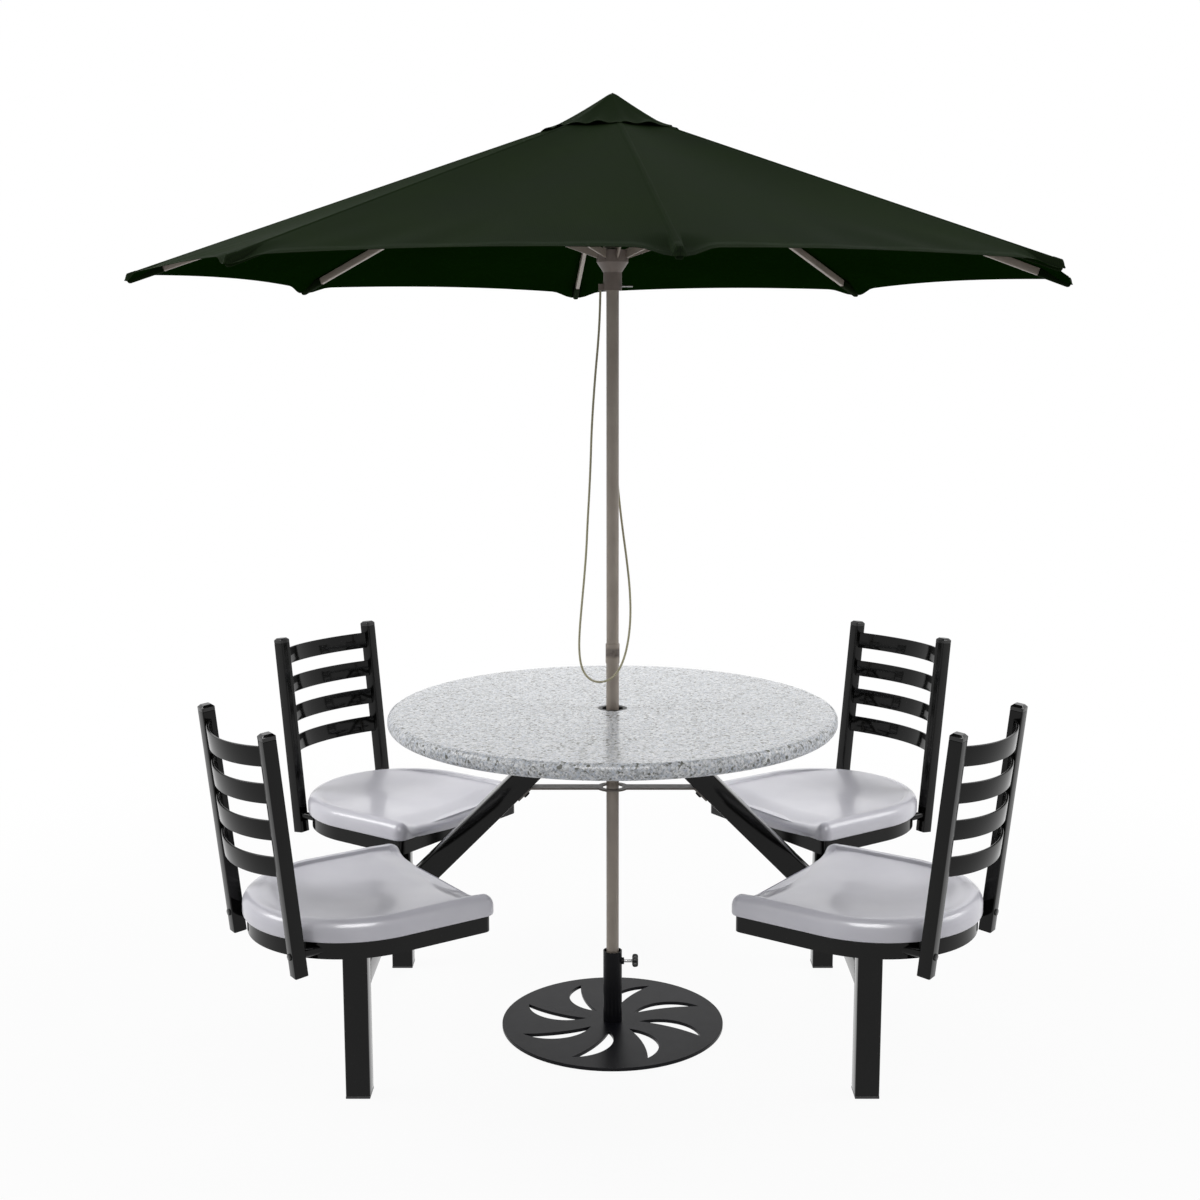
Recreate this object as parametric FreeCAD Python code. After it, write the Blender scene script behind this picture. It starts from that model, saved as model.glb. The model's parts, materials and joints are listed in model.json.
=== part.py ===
import FreeCAD, Part
import math
import os

os.makedirs("parts", exist_ok=True)

V = FreeCAD.Vector
UP = V(0, 0, 1)
ORIGIN = V(0, 0, 0)

# General values: one overrun for every cut, and the clearances
overrun = 5.0
slide_clearance = 0.3
pin_clearance = 0.05
screw_clearance = 0.3

# Round top
table_diameter = 1024.0
table_height = 762.0
table_thickness = 36.0
edge_round = 15.0
hole_diameter = 56.0
liner_wall = 4.0
liner_flange_width = 5.0
liner_flange_thickness = 1.5

# Square-tube frame
post_size = 52.0
tube_wall = 3.0
post_edge_gap = 29.0
post_y = 365.0
post_top = 352.0
foot_thickness = 6.0
foot_insert = 22.0
crossbar_z = 262.0
arm_width = 50.0
arm_depth = 52.0
arm_top_x = 83.0
plate_thickness = 6.0
plate_inner_x = 42.0
plate_length = 150.0
plate_width = 110.0
plate_screw_inset = 14.0
screw_head_radius = 7.0
screw_head_height = 4.0
screw_shank_radius = 3.0
screw_bite = 18.0

# Flat bar that guides the pole under the top
guide_z = 575.0
guide_width = 36.0
guide_thickness = 4.0
guide_ring_outer = 74.0
guide_ring_inner = 47.0
guide_tab_length = 40.0
guide_bolt_head_radius = 8.0
guide_bolt_head_height = 6.0
guide_bolt_radius = 4.0
guide_bolt_length = 16.0

# Swivels
swivel_flange = 6.0
spindle_diameter = 25.0
spindle_height = 30.0
hub_diameter = 44.0
hub_roof = 5.0

# Seats, in each seat's own frame: +X is the front, the swivel axis is Z
seat_turn_deg = 35.0
seat_front = 212.0
seat_half_width = 230.0
seat_back_centre_x = -1.0
seat_corner_radius = 26.0
seat_top = 468.0
seat_edge_height = 44.0
seat_edge_round = 13.0
seat_wall = 9.0
seat_cavity_depth = 18.0
dish_half_width = 186.0
dish_depth = 13.0
dish_start_x = -4.0
band_inset = 9.0
band_height = 36.0
band_thickness = 5.0
strap_width = 60.0
strap_thickness = 6.0

# Ladder backs
upright_size = 28.0
upright_wall = 2.0
upright_y = 155.0
upright_seat_gap = 0.3
upright_bottom = 362.0
upright_length = 484.0
back_lean_deg = 6.0
cap_height = 13.0
cap_chamfer = 5.0
slat_count = 4
slat_height = 41.0
slat_thickness = 5.0
slat_pitch = 75.0
slat_top_drop = 16.0
slat_bow = 42.0
boss_diameter = 18.0
back_bolt_head_radius = 7.0
back_bolt_head_height = 4.0

# Umbrella stand
base_diameter = 520.0
base_thickness = 8.0
blade_count = 8
blade_start_deg = -53.0
blade_tip_shares = (0.25, 0.85)
blade_tip_turn_deg = -16.0
blade_outer_share = 0.62
blade_outer_turn_deg = 3.0
blade_inner_share = 0.58
blade_inner_turn_deg = -9.0
base_tube_outer = 44.0
base_tube_wall = 2.5
base_tube_height = 172.0
clamp_drop = 26.0
clamp_boss_radius = 8.0
clamp_boss_length = 5.0
clamp_screw_radius = 4.0
clamp_screw_show = 19.0
knob_radius = 16.0
knob_thickness = 14.0
knob_lobes = 5
knob_lobe_radius = 6.0
knob_core_share = 0.72

# Pole
lower_pole_outer = 29.0
upper_pole_outer = 28.0
pole_wall = 1.6
socket_outer = 32.0
socket_bottom = 868.0
socket_height = 44.0

# Umbrella frame, ribs numbered counterclockwise from the right
rib_count = 8
rib_turn_deg = 5.8
hinge_z = 2070.0
hinge_radius = 28.0
rib_slope_deg = 19.0
rib_length = 1066.0
rib_width = 10.0
rib_height = 17.0
rib_wall = 1.5
rib_tongue_thickness = 5.0
rib_tongue_height = 12.0
rib_tongue_length = 24.0
stretcher_length = 450.0
stretcher_thickness = 4.0
stretcher_height = 15.0
stretcher_gap = 0.5
hinge_pin_radius = 1.5
rivet_radius = 4.0
rivet_height = 1.5
crown_radius = 35.0
crown_height = 24.0
crown_drop = 13.0
crown_stub_radius = 7.0
runner_radius = 35.0
runner_flare_height = 26.0
runner_flare_drop = 14.0
runner_neck_height = 22.0
runner_sleeve_outer = 41.0
runner_sleeve_length = 61.0
lug_width = 9.0
lug_reach = 11.0
lug_height = 14.0
lock_pin_radius = 2.0
lock_pin_length = 30.0
lock_pin_rise = 9.0

# Canopy and its vent cap
canopy_thickness = 2.0
canopy_rib_gap = 1.0
canopy_overhang = 12.0
canopy_hole_radius = 50.0
hem_sag = 26.0
vent_radius = 156.0
vent_rise = 55.0
vent_lift = 0.6
vent_sag = 6.0

# Pull rope: hangs from the runner's left lug, loops in front of the pole and climbs behind it
rope_diameter = 5.0
rope_arc_share = 0.45
rope_points = [
    (-27, 0, 1701.6), (-28, -1, 1650), (-32, -2, 1587), (-38, -3, 1523), (-43, -5, 1457), (-47, -5, 1391),
    (-49, -6, 1326), (-52, -8, 1260), (-56, -9, 1194), (-59, -11, 1128), (-64, -13, 1064), (-70, -16, 1000),
    (-75, -20, 942), (-76, -23, 896), (-70, -27, 858), (-53, -31, 834), (-25, -34, 827), (4, -35, 841),
    (24, -33, 875), (36, -29, 924), (41, -22, 979), (39, -11, 1041), (32, 3, 1104), (23, 16, 1169),
    (15, 24, 1235), (9, 28, 1300), (5, 30, 1366), (3, 31, 1432), (1, 31, 1498), (-1, 30, 1563),
    (-1, 28, 1624), (0, 27, 1668), (0, 27, 1701.6),
]

# Worked-out places
table_under = table_height - table_thickness
plate_under = table_under - plate_thickness
post_x = table_diameter / 2 + post_edge_gap
arm_rise = math.atan2(plate_under - crossbar_z, post_x - arm_top_x)
arm_rise_deg = math.degrees(arm_rise)
rib_slope = math.radians(rib_slope_deg)
band_top = seat_top - seat_edge_height
band_bottom = band_top - band_height
swivel_top = post_top + swivel_flange
stretcher_side = rib_width / 2 + stretcher_gap + stretcher_thickness / 2
runner_hinge_z = hinge_z - 2 * stretcher_length * math.sin(rib_slope)
runner_sleeve_bottom = runner_hinge_z - runner_flare_drop - runner_sleeve_length
lower_pole_bottom = base_thickness
vent_apex_z = hinge_z + vent_rise
seat_edge_back = math.sqrt(seat_half_width ** 2 - (upright_y - upright_size / 2) ** 2)
upright_x = seat_back_centre_x - seat_edge_back - upright_seat_gap - upright_size / 2


def box(x0, x1, y0, y1, z0, z1):
    return Part.makeBox(x1 - x0, y1 - y0, z1 - z0, V(x0, y0, z0))


def rod(radius, start, direction, length):
    return Part.makeCylinder(radius, length, start, direction)


def pipe(outer_radius, inner_radius, z0, z1):
    outer = Part.makeCylinder(outer_radius, z1 - z0, V(0, 0, z0))
    inner = Part.makeCylinder(inner_radius, z1 - z0 + 2 * overrun, V(0, 0, z0 - overrun))
    return outer.cut(inner)


def turned(shape, degrees):
    copy = shape.copy()
    copy.rotate(ORIGIN, UP, degrees)
    return copy


def mirrored_x(shape):
    return shape.mirror(ORIGIN, V(1, 0, 0))


def mirrored_y(shape):
    return shape.mirror(ORIGIN, V(0, 1, 0))


def save(name, shapes):
    solids = []
    for shape in shapes:
        solids.extend(shape.Solids)
    Part.makeCompound(solids).exportStep("parts/" + name + ".step")
    print(name, len(solids), "solids", round(sum(s.Volume for s in solids)), "mm3")


def corners():
    return [(sx * post_x, sy * post_y) for sy in (-1, 1) for sx in (-1, 1)]


# Round top and its liner

def plate_screw_places():
    places = []
    for side in (-1, 1):
        for x in (plate_inner_x + plate_screw_inset, plate_inner_x + plate_length - plate_screw_inset):
            for y in (-1, 1):
                places.append((side * x, y * (plate_width / 2 - plate_screw_inset)))
    return places


def table_top():
    radius = table_diameter / 2
    top = Part.makeCylinder(radius, table_thickness, V(0, 0, table_under))
    rims = [e for e in top.Edges if len(e.Vertexes) == 1]
    top = top.makeFillet(edge_round, rims)
    top = top.cut(rod(hole_diameter / 2, V(0, 0, table_under - overrun), UP, table_thickness + 2 * overrun))
    top = top.cut(rod(hole_diameter / 2 + liner_flange_width, V(0, 0, table_height - liner_flange_thickness), UP,
                      liner_flange_thickness + overrun))
    for x, y in plate_screw_places():
        top = top.cut(rod(screw_shank_radius + screw_clearance, V(x, y, table_under - overrun), UP,
                          screw_bite + screw_clearance + overrun))
    return top


def hole_liner():
    radius = hole_diameter / 2
    sleeve = pipe(radius, radius - liner_wall, table_under, table_height)
    flange = pipe(radius + liner_flange_width, radius - liner_wall, table_height - liner_flange_thickness,
                  table_height)
    return sleeve.fuse(flange).removeSplitter()


# Square-tube frame

def square_tube_z(size, wall, z0, z1):
    outer = box(-size / 2, size / 2, -size / 2, size / 2, z0, z1)
    hollow = size / 2 - wall
    return outer.cut(box(-hollow, hollow, -hollow, hollow, z0 - overrun, z1 + overrun))


def placed(shape, x, y):
    copy = shape.copy()
    copy.translate(V(x, y, 0))
    return copy


def seat_posts():
    post = square_tube_z(post_size, tube_wall, foot_thickness, post_top)
    return [placed(post, x, y) for x, y in corners()]


def foot_plugs():
    half = post_size / 2
    insert = half - tube_wall - screw_clearance
    plug = box(-half, half, -half, half, 0, foot_thickness)
    plug = plug.fuse(box(-insert, insert, -insert, insert, 0, foot_thickness + foot_insert)).removeSplitter()
    return [placed(plug, x, y) for x, y in corners()]


def crossbars():
    half = post_size / 2
    hollow = half - tube_wall
    reach = post_y - half
    bar = box(-half, half, -reach, reach, crossbar_z - half, crossbar_z + half)
    bar = bar.cut(box(-hollow, hollow, -reach - overrun, reach + overrun,
                      crossbar_z - hollow, crossbar_z + hollow))
    return [placed(bar, side * post_x, 0) for side in (-1, 1)]


def arm_frame():
    along = V(-math.cos(arm_rise), 0, math.sin(arm_rise))
    below = V(-math.sin(arm_rise), 0, -math.cos(arm_rise))
    return V(post_x, 0, crossbar_z), along, below


def guide_bend():
    # how far up the right arm the middle of the flat bar meets the arm's underside
    start, along, below = arm_frame()
    offset = arm_depth / 2 + guide_thickness / 2
    climb = (guide_z - start.z - offset * below.z) / along.z
    return climb, start + along * climb + below * offset


def guide_bolt_seat():
    start, along, below = arm_frame()
    climb = guide_bend()[0] - guide_tab_length / 2
    return start + along * climb + below * (arm_depth / 2 + guide_thickness), below


def table_arms():
    reach = (plate_under - crossbar_z) / math.sin(arm_rise) + arm_depth
    tube = box(-arm_depth, reach, -arm_width / 2, arm_width / 2, -arm_depth / 2, arm_depth / 2)
    hollow_y = arm_width / 2 - tube_wall
    hollow_z = arm_depth / 2 - tube_wall
    tube = tube.cut(box(-arm_depth - overrun, reach + overrun, -hollow_y, hollow_y, -hollow_z, hollow_z))
    tube.rotate(ORIGIN, V(0, 1, 0), arm_rise_deg - 180)
    tube.translate(V(post_x, 0, crossbar_z))
    room = box(0, post_x - post_size / 2, -post_y, post_y, 0, plate_under)
    arm = tube.common(room)
    seat, below = guide_bolt_seat()
    arm = arm.cut(rod(guide_bolt_radius + screw_clearance, seat, below * -1,
                      guide_bolt_length + screw_clearance))
    return [mirrored_x(arm), arm]


def arm_plates():
    plate = box(plate_inner_x, plate_inner_x + plate_length, -plate_width / 2, plate_width / 2,
                plate_under, table_under)
    for x, y in plate_screw_places():
        plate = plate.cut(rod(screw_shank_radius + screw_clearance, V(x, y, plate_under - overrun), UP,
                              plate_thickness + 2 * overrun))
    return [mirrored_x(plate), plate]


def table_screws():
    screws = []
    for x, y in plate_screw_places():
        head = rod(screw_head_radius, V(x, y, plate_under - screw_head_height), UP, screw_head_height)
        shank = rod(screw_shank_radius, V(x, y, plate_under), UP, plate_thickness + screw_bite)
        screws.append(head.fuse(shank))
    return screws


def guide_bar():
    bend = guide_bend()[1]
    half = guide_thickness / 2
    bar = box(-bend.x, bend.x, -guide_width / 2, guide_width / 2, guide_z - half, guide_z + half)
    ring = Part.makeCylinder(guide_ring_outer / 2, guide_thickness, V(0, 0, guide_z - half))
    tab = box(0, guide_tab_length, -guide_width / 2, guide_width / 2, -half, half)
    tab.rotate(ORIGIN, V(0, 1, 0), arm_rise_deg)
    tab.translate(bend)
    seat, below = guide_bolt_seat()
    hole = rod(guide_bolt_radius + screw_clearance, seat + below * overrun, below * -1,
               guide_thickness + 2 * overrun)
    tab = tab.cut(hole)
    eye = rod(guide_ring_inner / 2, V(0, 0, guide_z - half - overrun), UP, guide_thickness + 2 * overrun)
    return bar.fuse([ring, tab, mirrored_x(tab)]).removeSplitter().cut(eye)


def guide_bolts():
    seat, below = guide_bolt_seat()
    head = rod(guide_bolt_head_radius, seat, below, guide_bolt_head_height)
    shank = rod(guide_bolt_radius, seat, below * -1, guide_bolt_length)
    bolt = head.fuse(shank)
    return [mirrored_x(bolt), bolt]


def swivel_bases():
    half = post_size / 2
    base = box(-half, half, -half, half, post_top, swivel_top)
    base = base.fuse(rod(spindle_diameter / 2, V(0, 0, swivel_top), UP, spindle_height))
    return [placed(base, x, y) for x, y in corners()]


# Seats

def seat_outline(inset, z):
    front = seat_front - inset
    half = seat_half_width - inset
    centre = seat_back_centre_x
    corner = seat_corner_radius - inset
    diagonal = corner * math.sqrt(0.5)
    edges = [
        Part.LineSegment(V(centre, -half, z), V(front - corner, -half, z)),
        Part.Arc(V(front - corner, -half, z), V(front - corner + diagonal, corner - half - diagonal, z),
                 V(front, corner - half, z)),
        Part.LineSegment(V(front, corner - half, z), V(front, half - corner, z)),
        Part.Arc(V(front, half - corner, z), V(front - corner + diagonal, half - corner + diagonal, z),
                 V(front - corner, half, z)),
        Part.LineSegment(V(front - corner, half, z), V(centre, half, z)),
        Part.Arc(V(centre, half, z), V(centre - half, 0, z), V(centre, -half, z)),
    ]
    return Part.Face(Part.Wire([e.toShape() for e in edges]))


def seat_slab(inset, z0, z1):
    return seat_outline(inset, z0).extrude(V(0, 0, z1 - z0))


def seat_shell():
    shell = seat_slab(0, band_top, seat_top)
    top_edges = [e for e in shell.Edges if abs(e.BoundBox.ZMin - seat_top) < slide_clearance]
    shell = shell.makeFillet(seat_edge_round, top_edges)
    dish_radius = (dish_half_width ** 2 + dish_depth ** 2) / (2 * dish_depth)
    dish_centre = V(dish_start_x, 0, seat_top - dish_depth + dish_radius)
    trough = rod(dish_radius, dish_centre, V(1, 0, 0), seat_front - dish_start_x + overrun)
    bowl = Part.makeSphere(dish_radius, dish_centre)
    shell = shell.cut(bowl).cut(trough)
    return shell.cut(seat_slab(seat_wall, band_top - overrun, band_top + seat_cavity_depth))


def leaned(shape):
    copy = shape.copy()
    copy.rotate(V(upright_x, 0, upright_bottom), V(0, 1, 0), -back_lean_deg)
    return copy


def upright_block():
    half = upright_size / 2
    return box(upright_x - half, upright_x + half, upright_y - half, upright_y + half,
               upright_bottom, upright_bottom + upright_length)


def back_uprights():
    hollow = upright_size / 2 - upright_wall
    tube = upright_block().cut(box(upright_x - hollow, upright_x + hollow, upright_y - hollow, upright_y + hollow,
                                   upright_bottom - overrun, upright_bottom + upright_length + overrun))
    return [leaned(mirrored_y(tube)), leaned(tube)]


def back_slats():
    half_span = upright_y - upright_size / 2
    radius = (half_span ** 2 + slat_bow ** 2) / (2 * slat_bow)
    centre_x = upright_x - slat_bow + radius
    slats = []
    for index in range(slat_count):
        z1 = upright_bottom + upright_length - slat_top_drop - index * slat_pitch
        ring = pipe(radius + slat_thickness / 2, radius - slat_thickness / 2, z1 - slat_height, z1)
        ring.translate(V(centre_x, 0, 0))
        reach = upright_x - slat_bow - overrun
        slats.append(leaned(ring.common(box(reach, centre_x, -half_span, half_span, z1 - slat_height, z1))))
    return slats


def boss_z():
    return (band_top + band_bottom) / 2


def back_fittings():
    top = upright_bottom + upright_length
    half = upright_size / 2
    cap = box(upright_x - half, upright_x + half, upright_y - half, upright_y + half, top, top + cap_height)
    roof = [e for e in cap.Edges if e.BoundBox.ZMin > top + cap_height / 2]
    cap = cap.makeChamfer(cap_chamfer, roof)
    bolt = rod(back_bolt_head_radius, V(upright_x - half, upright_y, boss_z()), V(-1, 0, 0), back_bolt_head_height)
    return [leaned(mirrored_y(cap)), leaned(cap), leaned(mirrored_y(bolt)), leaned(bolt)]


def seat_frame():
    band = seat_slab(band_inset, band_bottom, band_top)
    core = seat_slab(band_inset + band_thickness, band_bottom - overrun, band_top + overrun)
    back = seat_back_centre_x - seat_half_width
    strap_top = band_bottom + strap_thickness
    straps = box(back, seat_front, -strap_width / 2, strap_width / 2, band_bottom, strap_top)
    straps = straps.fuse(box(-strap_width / 2, strap_width / 2, -seat_half_width, seat_half_width,
                             band_bottom, strap_top)).common(band)
    hub_bottom = swivel_top + slide_clearance
    hub_top = swivel_top + spindle_height + slide_clearance + hub_roof
    hub = rod(hub_diameter / 2, V(0, 0, hub_bottom), UP, hub_top - hub_bottom)
    boss = rod(boss_diameter / 2, V(upright_x, upright_y, boss_z()), V(1, 0, 0), -upright_x)
    boss = boss.cut(core).cut(leaned(upright_block()))
    boss = max(boss.Solids, key=lambda s: s.CenterOfMass.x)
    frame = band.cut(core).fuse([straps, hub, boss, mirrored_y(boss)]).removeSplitter()
    bore = rod(spindle_diameter / 2 + pin_clearance, V(0, 0, hub_bottom - overrun), UP,
               spindle_height + slide_clearance + overrun)
    return frame.cut(bore)


def seat_places():
    turn = seat_turn_deg
    names = ("front_left", "front_right", "back_left", "back_right")
    turns = (turn, 180 - turn, -turn, 180 + turn)
    return list(zip(names, corners(), turns))


def at_seat(shapes, place, degrees):
    return [placed(turned(shape, degrees), place[0], place[1]) for shape in shapes]


# Umbrella stand

def around(share, degrees):
    angle = math.radians(degrees)
    reach = base_diameter / 2 * share
    return V(reach * math.cos(angle), reach * math.sin(angle), -overrun)


def base_plate():
    plate = Part.makeCylinder(base_diameter / 2, base_thickness)
    inner_tip = around(blade_tip_shares[0], 0)
    outer_tip = around(blade_tip_shares[1], blade_tip_turn_deg)
    bulge = Part.Arc(inner_tip, around(blade_outer_share, blade_outer_turn_deg), outer_tip)
    hollow = Part.Arc(outer_tip, around(blade_inner_share, blade_inner_turn_deg), inner_tip)
    blade = Part.Face(Part.Wire([bulge.toShape(), hollow.toShape()]))
    blade = blade.extrude(V(0, 0, base_thickness + 2 * overrun))
    for index in range(blade_count):
        plate = plate.cut(turned(blade, blade_start_deg + index * 360 / blade_count))
    return plate


def clamp_z():
    return base_thickness + base_tube_height - clamp_drop


def clamp_boss_end():
    return base_tube_outer / 2 + clamp_boss_length


def base_tube():
    outer = base_tube_outer / 2
    tube = pipe(outer, outer - base_tube_wall, base_thickness, base_thickness + base_tube_height)
    boss = rod(clamp_boss_radius, V(0, 0, clamp_z()), V(1, 0, 0), clamp_boss_end())
    boss = boss.cut(rod(outer - base_tube_wall, V(0, 0, 0), UP, base_thickness + base_tube_height))
    hole = rod(clamp_screw_radius + pin_clearance, V(0, 0, clamp_z()), V(1, 0, 0), clamp_boss_end() + overrun)
    return tube.fuse(boss).removeSplitter().cut(hole)


def clamp_screw():
    tip = lower_pole_outer / 2 + slide_clearance
    length = clamp_boss_end() + clamp_screw_show + knob_thickness - tip
    return rod(clamp_screw_radius, V(tip, 0, clamp_z()), V(1, 0, 0), length)


def clamp_knob():
    inner = clamp_boss_end() + clamp_screw_show
    knob = rod(knob_radius * knob_core_share, V(inner, 0, 0), V(1, 0, 0), knob_thickness)
    for index in range(knob_lobes):
        angle = 2 * math.pi * index / knob_lobes
        ring = knob_radius - knob_lobe_radius
        lobe = V(inner, ring * math.cos(angle), ring * math.sin(angle))
        knob = knob.fuse(rod(knob_lobe_radius, lobe, V(1, 0, 0), knob_thickness))
    knob = knob.removeSplitter()
    bore = rod(clamp_screw_radius + pin_clearance, V(inner - overrun, 0, 0), V(1, 0, 0),
               knob_thickness + 2 * overrun)
    knob = knob.cut(bore)
    knob.translate(V(0, 0, clamp_z()))
    return knob


# Pole

def lower_pole():
    outer = lower_pole_outer / 2
    socket_top = socket_bottom + socket_height
    tube = pipe(outer, outer - pole_wall, lower_pole_bottom, socket_bottom)
    socket = pipe(socket_outer / 2, upper_pole_outer / 2 + pin_clearance, socket_bottom, socket_top)
    shoulder = pipe(socket_outer / 2, outer - pole_wall, socket_bottom - pole_wall, socket_bottom)
    return tube.fuse([shoulder, socket]).removeSplitter()


def upper_pole():
    outer = upper_pole_outer / 2
    return pipe(outer, outer - pole_wall, socket_bottom + pin_clearance, hinge_z - crown_drop)


# Umbrella frame: pieces are made for a rib along +X, then turned into place

def rib_angle(index):
    return rib_turn_deg + index * 360 / rib_count


def tilted(shape, x, z, degrees):
    # lays a bar made along +X from the origin at a slope, hinged at (x, z)
    copy = shape.copy()
    copy.rotate(ORIGIN, V(0, 1, 0), degrees)
    copy.translate(V(x, 0, z))
    return copy


def bar_with_round_ends(length, thickness, height):
    radius = height / 2
    bar = box(0, length, -thickness / 2, thickness / 2, -radius, radius)
    for x in (0, length):
        bar = bar.fuse(rod(radius, V(x, -thickness / 2, 0), V(0, 1, 0), thickness))
    return bar.removeSplitter()


def rib():
    tongue = bar_with_round_ends(rib_tongue_length + rib_tongue_height, rib_tongue_thickness, rib_tongue_height)
    start = rib_tongue_length
    body = box(start, rib_length, -rib_width / 2, rib_width / 2, -rib_height / 2, rib_height / 2)
    hollow = box(start + rib_tongue_height, rib_length - rib_wall, rib_wall - rib_width / 2,
                 rib_width / 2 - rib_wall, rib_wall - rib_height / 2, rib_height / 2 - rib_wall)
    body = body.cut(hollow)
    rivet = rod(rivet_radius, V(stretcher_length, -rib_width / 2, 0), V(0, -1, 0), rivet_height)
    hole = rod(hinge_pin_radius + pin_clearance, V(0, -rib_width, 0), V(0, 1, 0), 2 * rib_width)
    piece = tongue.cut(hollow).fuse([body, rivet]).removeSplitter().cut(hole)
    return tilted(piece, hinge_radius, hinge_z, rib_slope_deg)


def stretcher():
    strap = bar_with_round_ends(stretcher_length, stretcher_thickness, stretcher_height)
    head = rod(rivet_radius, V(stretcher_length, stretcher_thickness / 2, 0), V(0, 1, 0), rivet_height)
    hole = rod(hinge_pin_radius + pin_clearance, V(0, -stretcher_thickness, 0), V(0, 1, 0),
               2 * stretcher_thickness)
    piece = strap.fuse(head).removeSplitter().cut(hole)
    piece.translate(V(0, stretcher_side, 0))
    return tilted(piece, hinge_radius, runner_hinge_z, -rib_slope_deg)


def slots(width, side, tongue_height, z0, z1):
    inner = hinge_radius - tongue_height / 2 - slide_clearance
    slot = box(inner, crown_radius + runner_radius, side - width / 2, side + width / 2, z0, z1)
    return [turned(slot, rib_angle(index)) for index in range(rib_count)]


def hinge_pins(width, side, z):
    start = V(hinge_radius, side - width / 2 - hinge_pin_radius, z)
    pin = rod(hinge_pin_radius, start, V(0, 1, 0), width + 2 * hinge_pin_radius)
    return [turned(pin, rib_angle(index)) for index in range(rib_count)]


def crown_hub():
    bottom = hinge_z - crown_drop
    top = bottom + crown_height
    width = rib_tongue_thickness + 2 * slide_clearance
    hub = Part.makeCylinder(crown_radius, crown_height, V(0, 0, bottom))
    stub_top = vent_apex_z - canopy_thickness - vent_lift - crown_stub_radius * vent_slope()
    hub = hub.fuse(rod(crown_stub_radius, V(0, 0, top), UP, stub_top - top)).removeSplitter()
    roof = hinge_z + rib_tongue_height / 2 + slide_clearance
    hub = hub.cut(slots(width, 0, rib_tongue_height, bottom - overrun, roof))
    return hub.fuse(hinge_pins(width, 0, hinge_z)).removeSplitter()


def runner():
    flare_bottom = runner_hinge_z - runner_flare_drop
    outer = runner_sleeve_outer / 2
    width = stretcher_thickness + 2 * slide_clearance
    flare = Part.makeCylinder(runner_radius, runner_flare_height, V(0, 0, flare_bottom))
    neck = Part.makeCone(outer, runner_radius, runner_neck_height, V(0, 0, flare_bottom - runner_neck_height))
    sleeve = rod(outer, V(0, 0, runner_sleeve_bottom), UP, runner_sleeve_length)
    lug = box(0, outer + lug_reach, -lug_width / 2, lug_width / 2,
              runner_sleeve_bottom, runner_sleeve_bottom + lug_height)
    body = flare.fuse([neck, sleeve, turned(lug, 180), turned(lug, 90)]).removeSplitter()
    floor = runner_hinge_z - stretcher_height / 2 - slide_clearance
    body = body.cut(slots(width, stretcher_side, stretcher_height, floor,
                          flare_bottom + runner_flare_height + overrun))
    body = body.fuse(hinge_pins(width, stretcher_side, runner_hinge_z)).removeSplitter()
    bore = rod(upper_pole_outer / 2 + slide_clearance, V(0, 0, runner_sleeve_bottom - overrun), UP,
               runner_sleeve_length + runner_flare_height + 2 * overrun)
    pin_hole = rod(lock_pin_radius + pin_clearance, V(0, 0, lock_pin_z()), V(1, 0, 0), runner_radius)
    return body.cut(bore).cut(pin_hole)


def lock_pin_z():
    return runner_sleeve_bottom + lock_pin_rise


def lock_pin():
    tip = upper_pole_outer / 2 + slide_clearance
    return rod(lock_pin_radius, V(tip, 0, lock_pin_z()), V(1, 0, 0), lock_pin_length)


# Canopy and vent cap: eight-sided tents whose ridges lie along the ribs

def ring_of_points(radius, z):
    points = []
    for index in range(rib_count):
        angle = math.radians(rib_angle(index))
        points.append(V(radius * math.cos(angle), radius * math.sin(angle), z))
    return points


def tent(points_low, points_high):
    faces = [Part.Face(Part.makePolygon(points_low + points_low[:1])),
             Part.Face(Part.makePolygon(points_high + points_high[:1]))]
    for index in range(rib_count):
        after = (index + 1) % rib_count
        corner = [points_low[index], points_low[after], points_high[after], points_high[index]]
        faces.append(Part.Face(Part.makePolygon(corner + corner[:1])))
    solid = Part.makeSolid(Part.makeShell(faces))
    if solid.Volume < 0:
        solid.reverse()
    return solid


def tent_skin(low_radius, low_z, high_radius, high_z):
    slope = (high_z - low_z) / (low_radius - high_radius)
    skirt = low_radius + overrun
    outer = tent(ring_of_points(low_radius, low_z + canopy_thickness),
                 ring_of_points(high_radius, high_z + canopy_thickness))
    wide = tent(ring_of_points(skirt, low_z - slope * overrun), ring_of_points(high_radius, high_z))
    return outer.cut(wide)


def scalloped(skin, radius, sag):
    half_turn = math.pi / rib_count
    half_chord = radius * math.sin(half_turn)
    arc_radius = (half_chord ** 2 + sag ** 2) / (2 * sag)
    centre_x = radius * math.cos(half_turn) - sag + arc_radius
    bite = Part.makeCylinder(arc_radius, vent_apex_z + overrun, V(centre_x, 0, 0))
    for index in range(rib_count):
        skin = skin.cut(turned(bite, rib_angle(index) + math.degrees(half_turn)))
    return skin


def canopy_under_z(radius):
    rib_top = hinge_z + rib_height / 2 / math.cos(rib_slope)
    return rib_top - (radius - hinge_radius) * math.tan(rib_slope) + canopy_rib_gap


def canopy_radius():
    return hinge_radius + rib_length * math.cos(rib_slope) + canopy_overhang


def canopy():
    low = canopy_radius()
    top = canopy_under_z(canopy_hole_radius)
    skin = tent_skin(low, canopy_under_z(low), canopy_hole_radius, top)
    opening = tent(ring_of_points(canopy_hole_radius, top - overrun), ring_of_points(canopy_hole_radius, top + overrun))
    return scalloped(skin.cut(opening), low, hem_sag)


def vent_edge_z():
    return canopy_under_z(vent_radius) + canopy_thickness + vent_lift


def vent_slope():
    return (vent_apex_z - canopy_thickness - vent_edge_z()) / vent_radius


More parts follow.
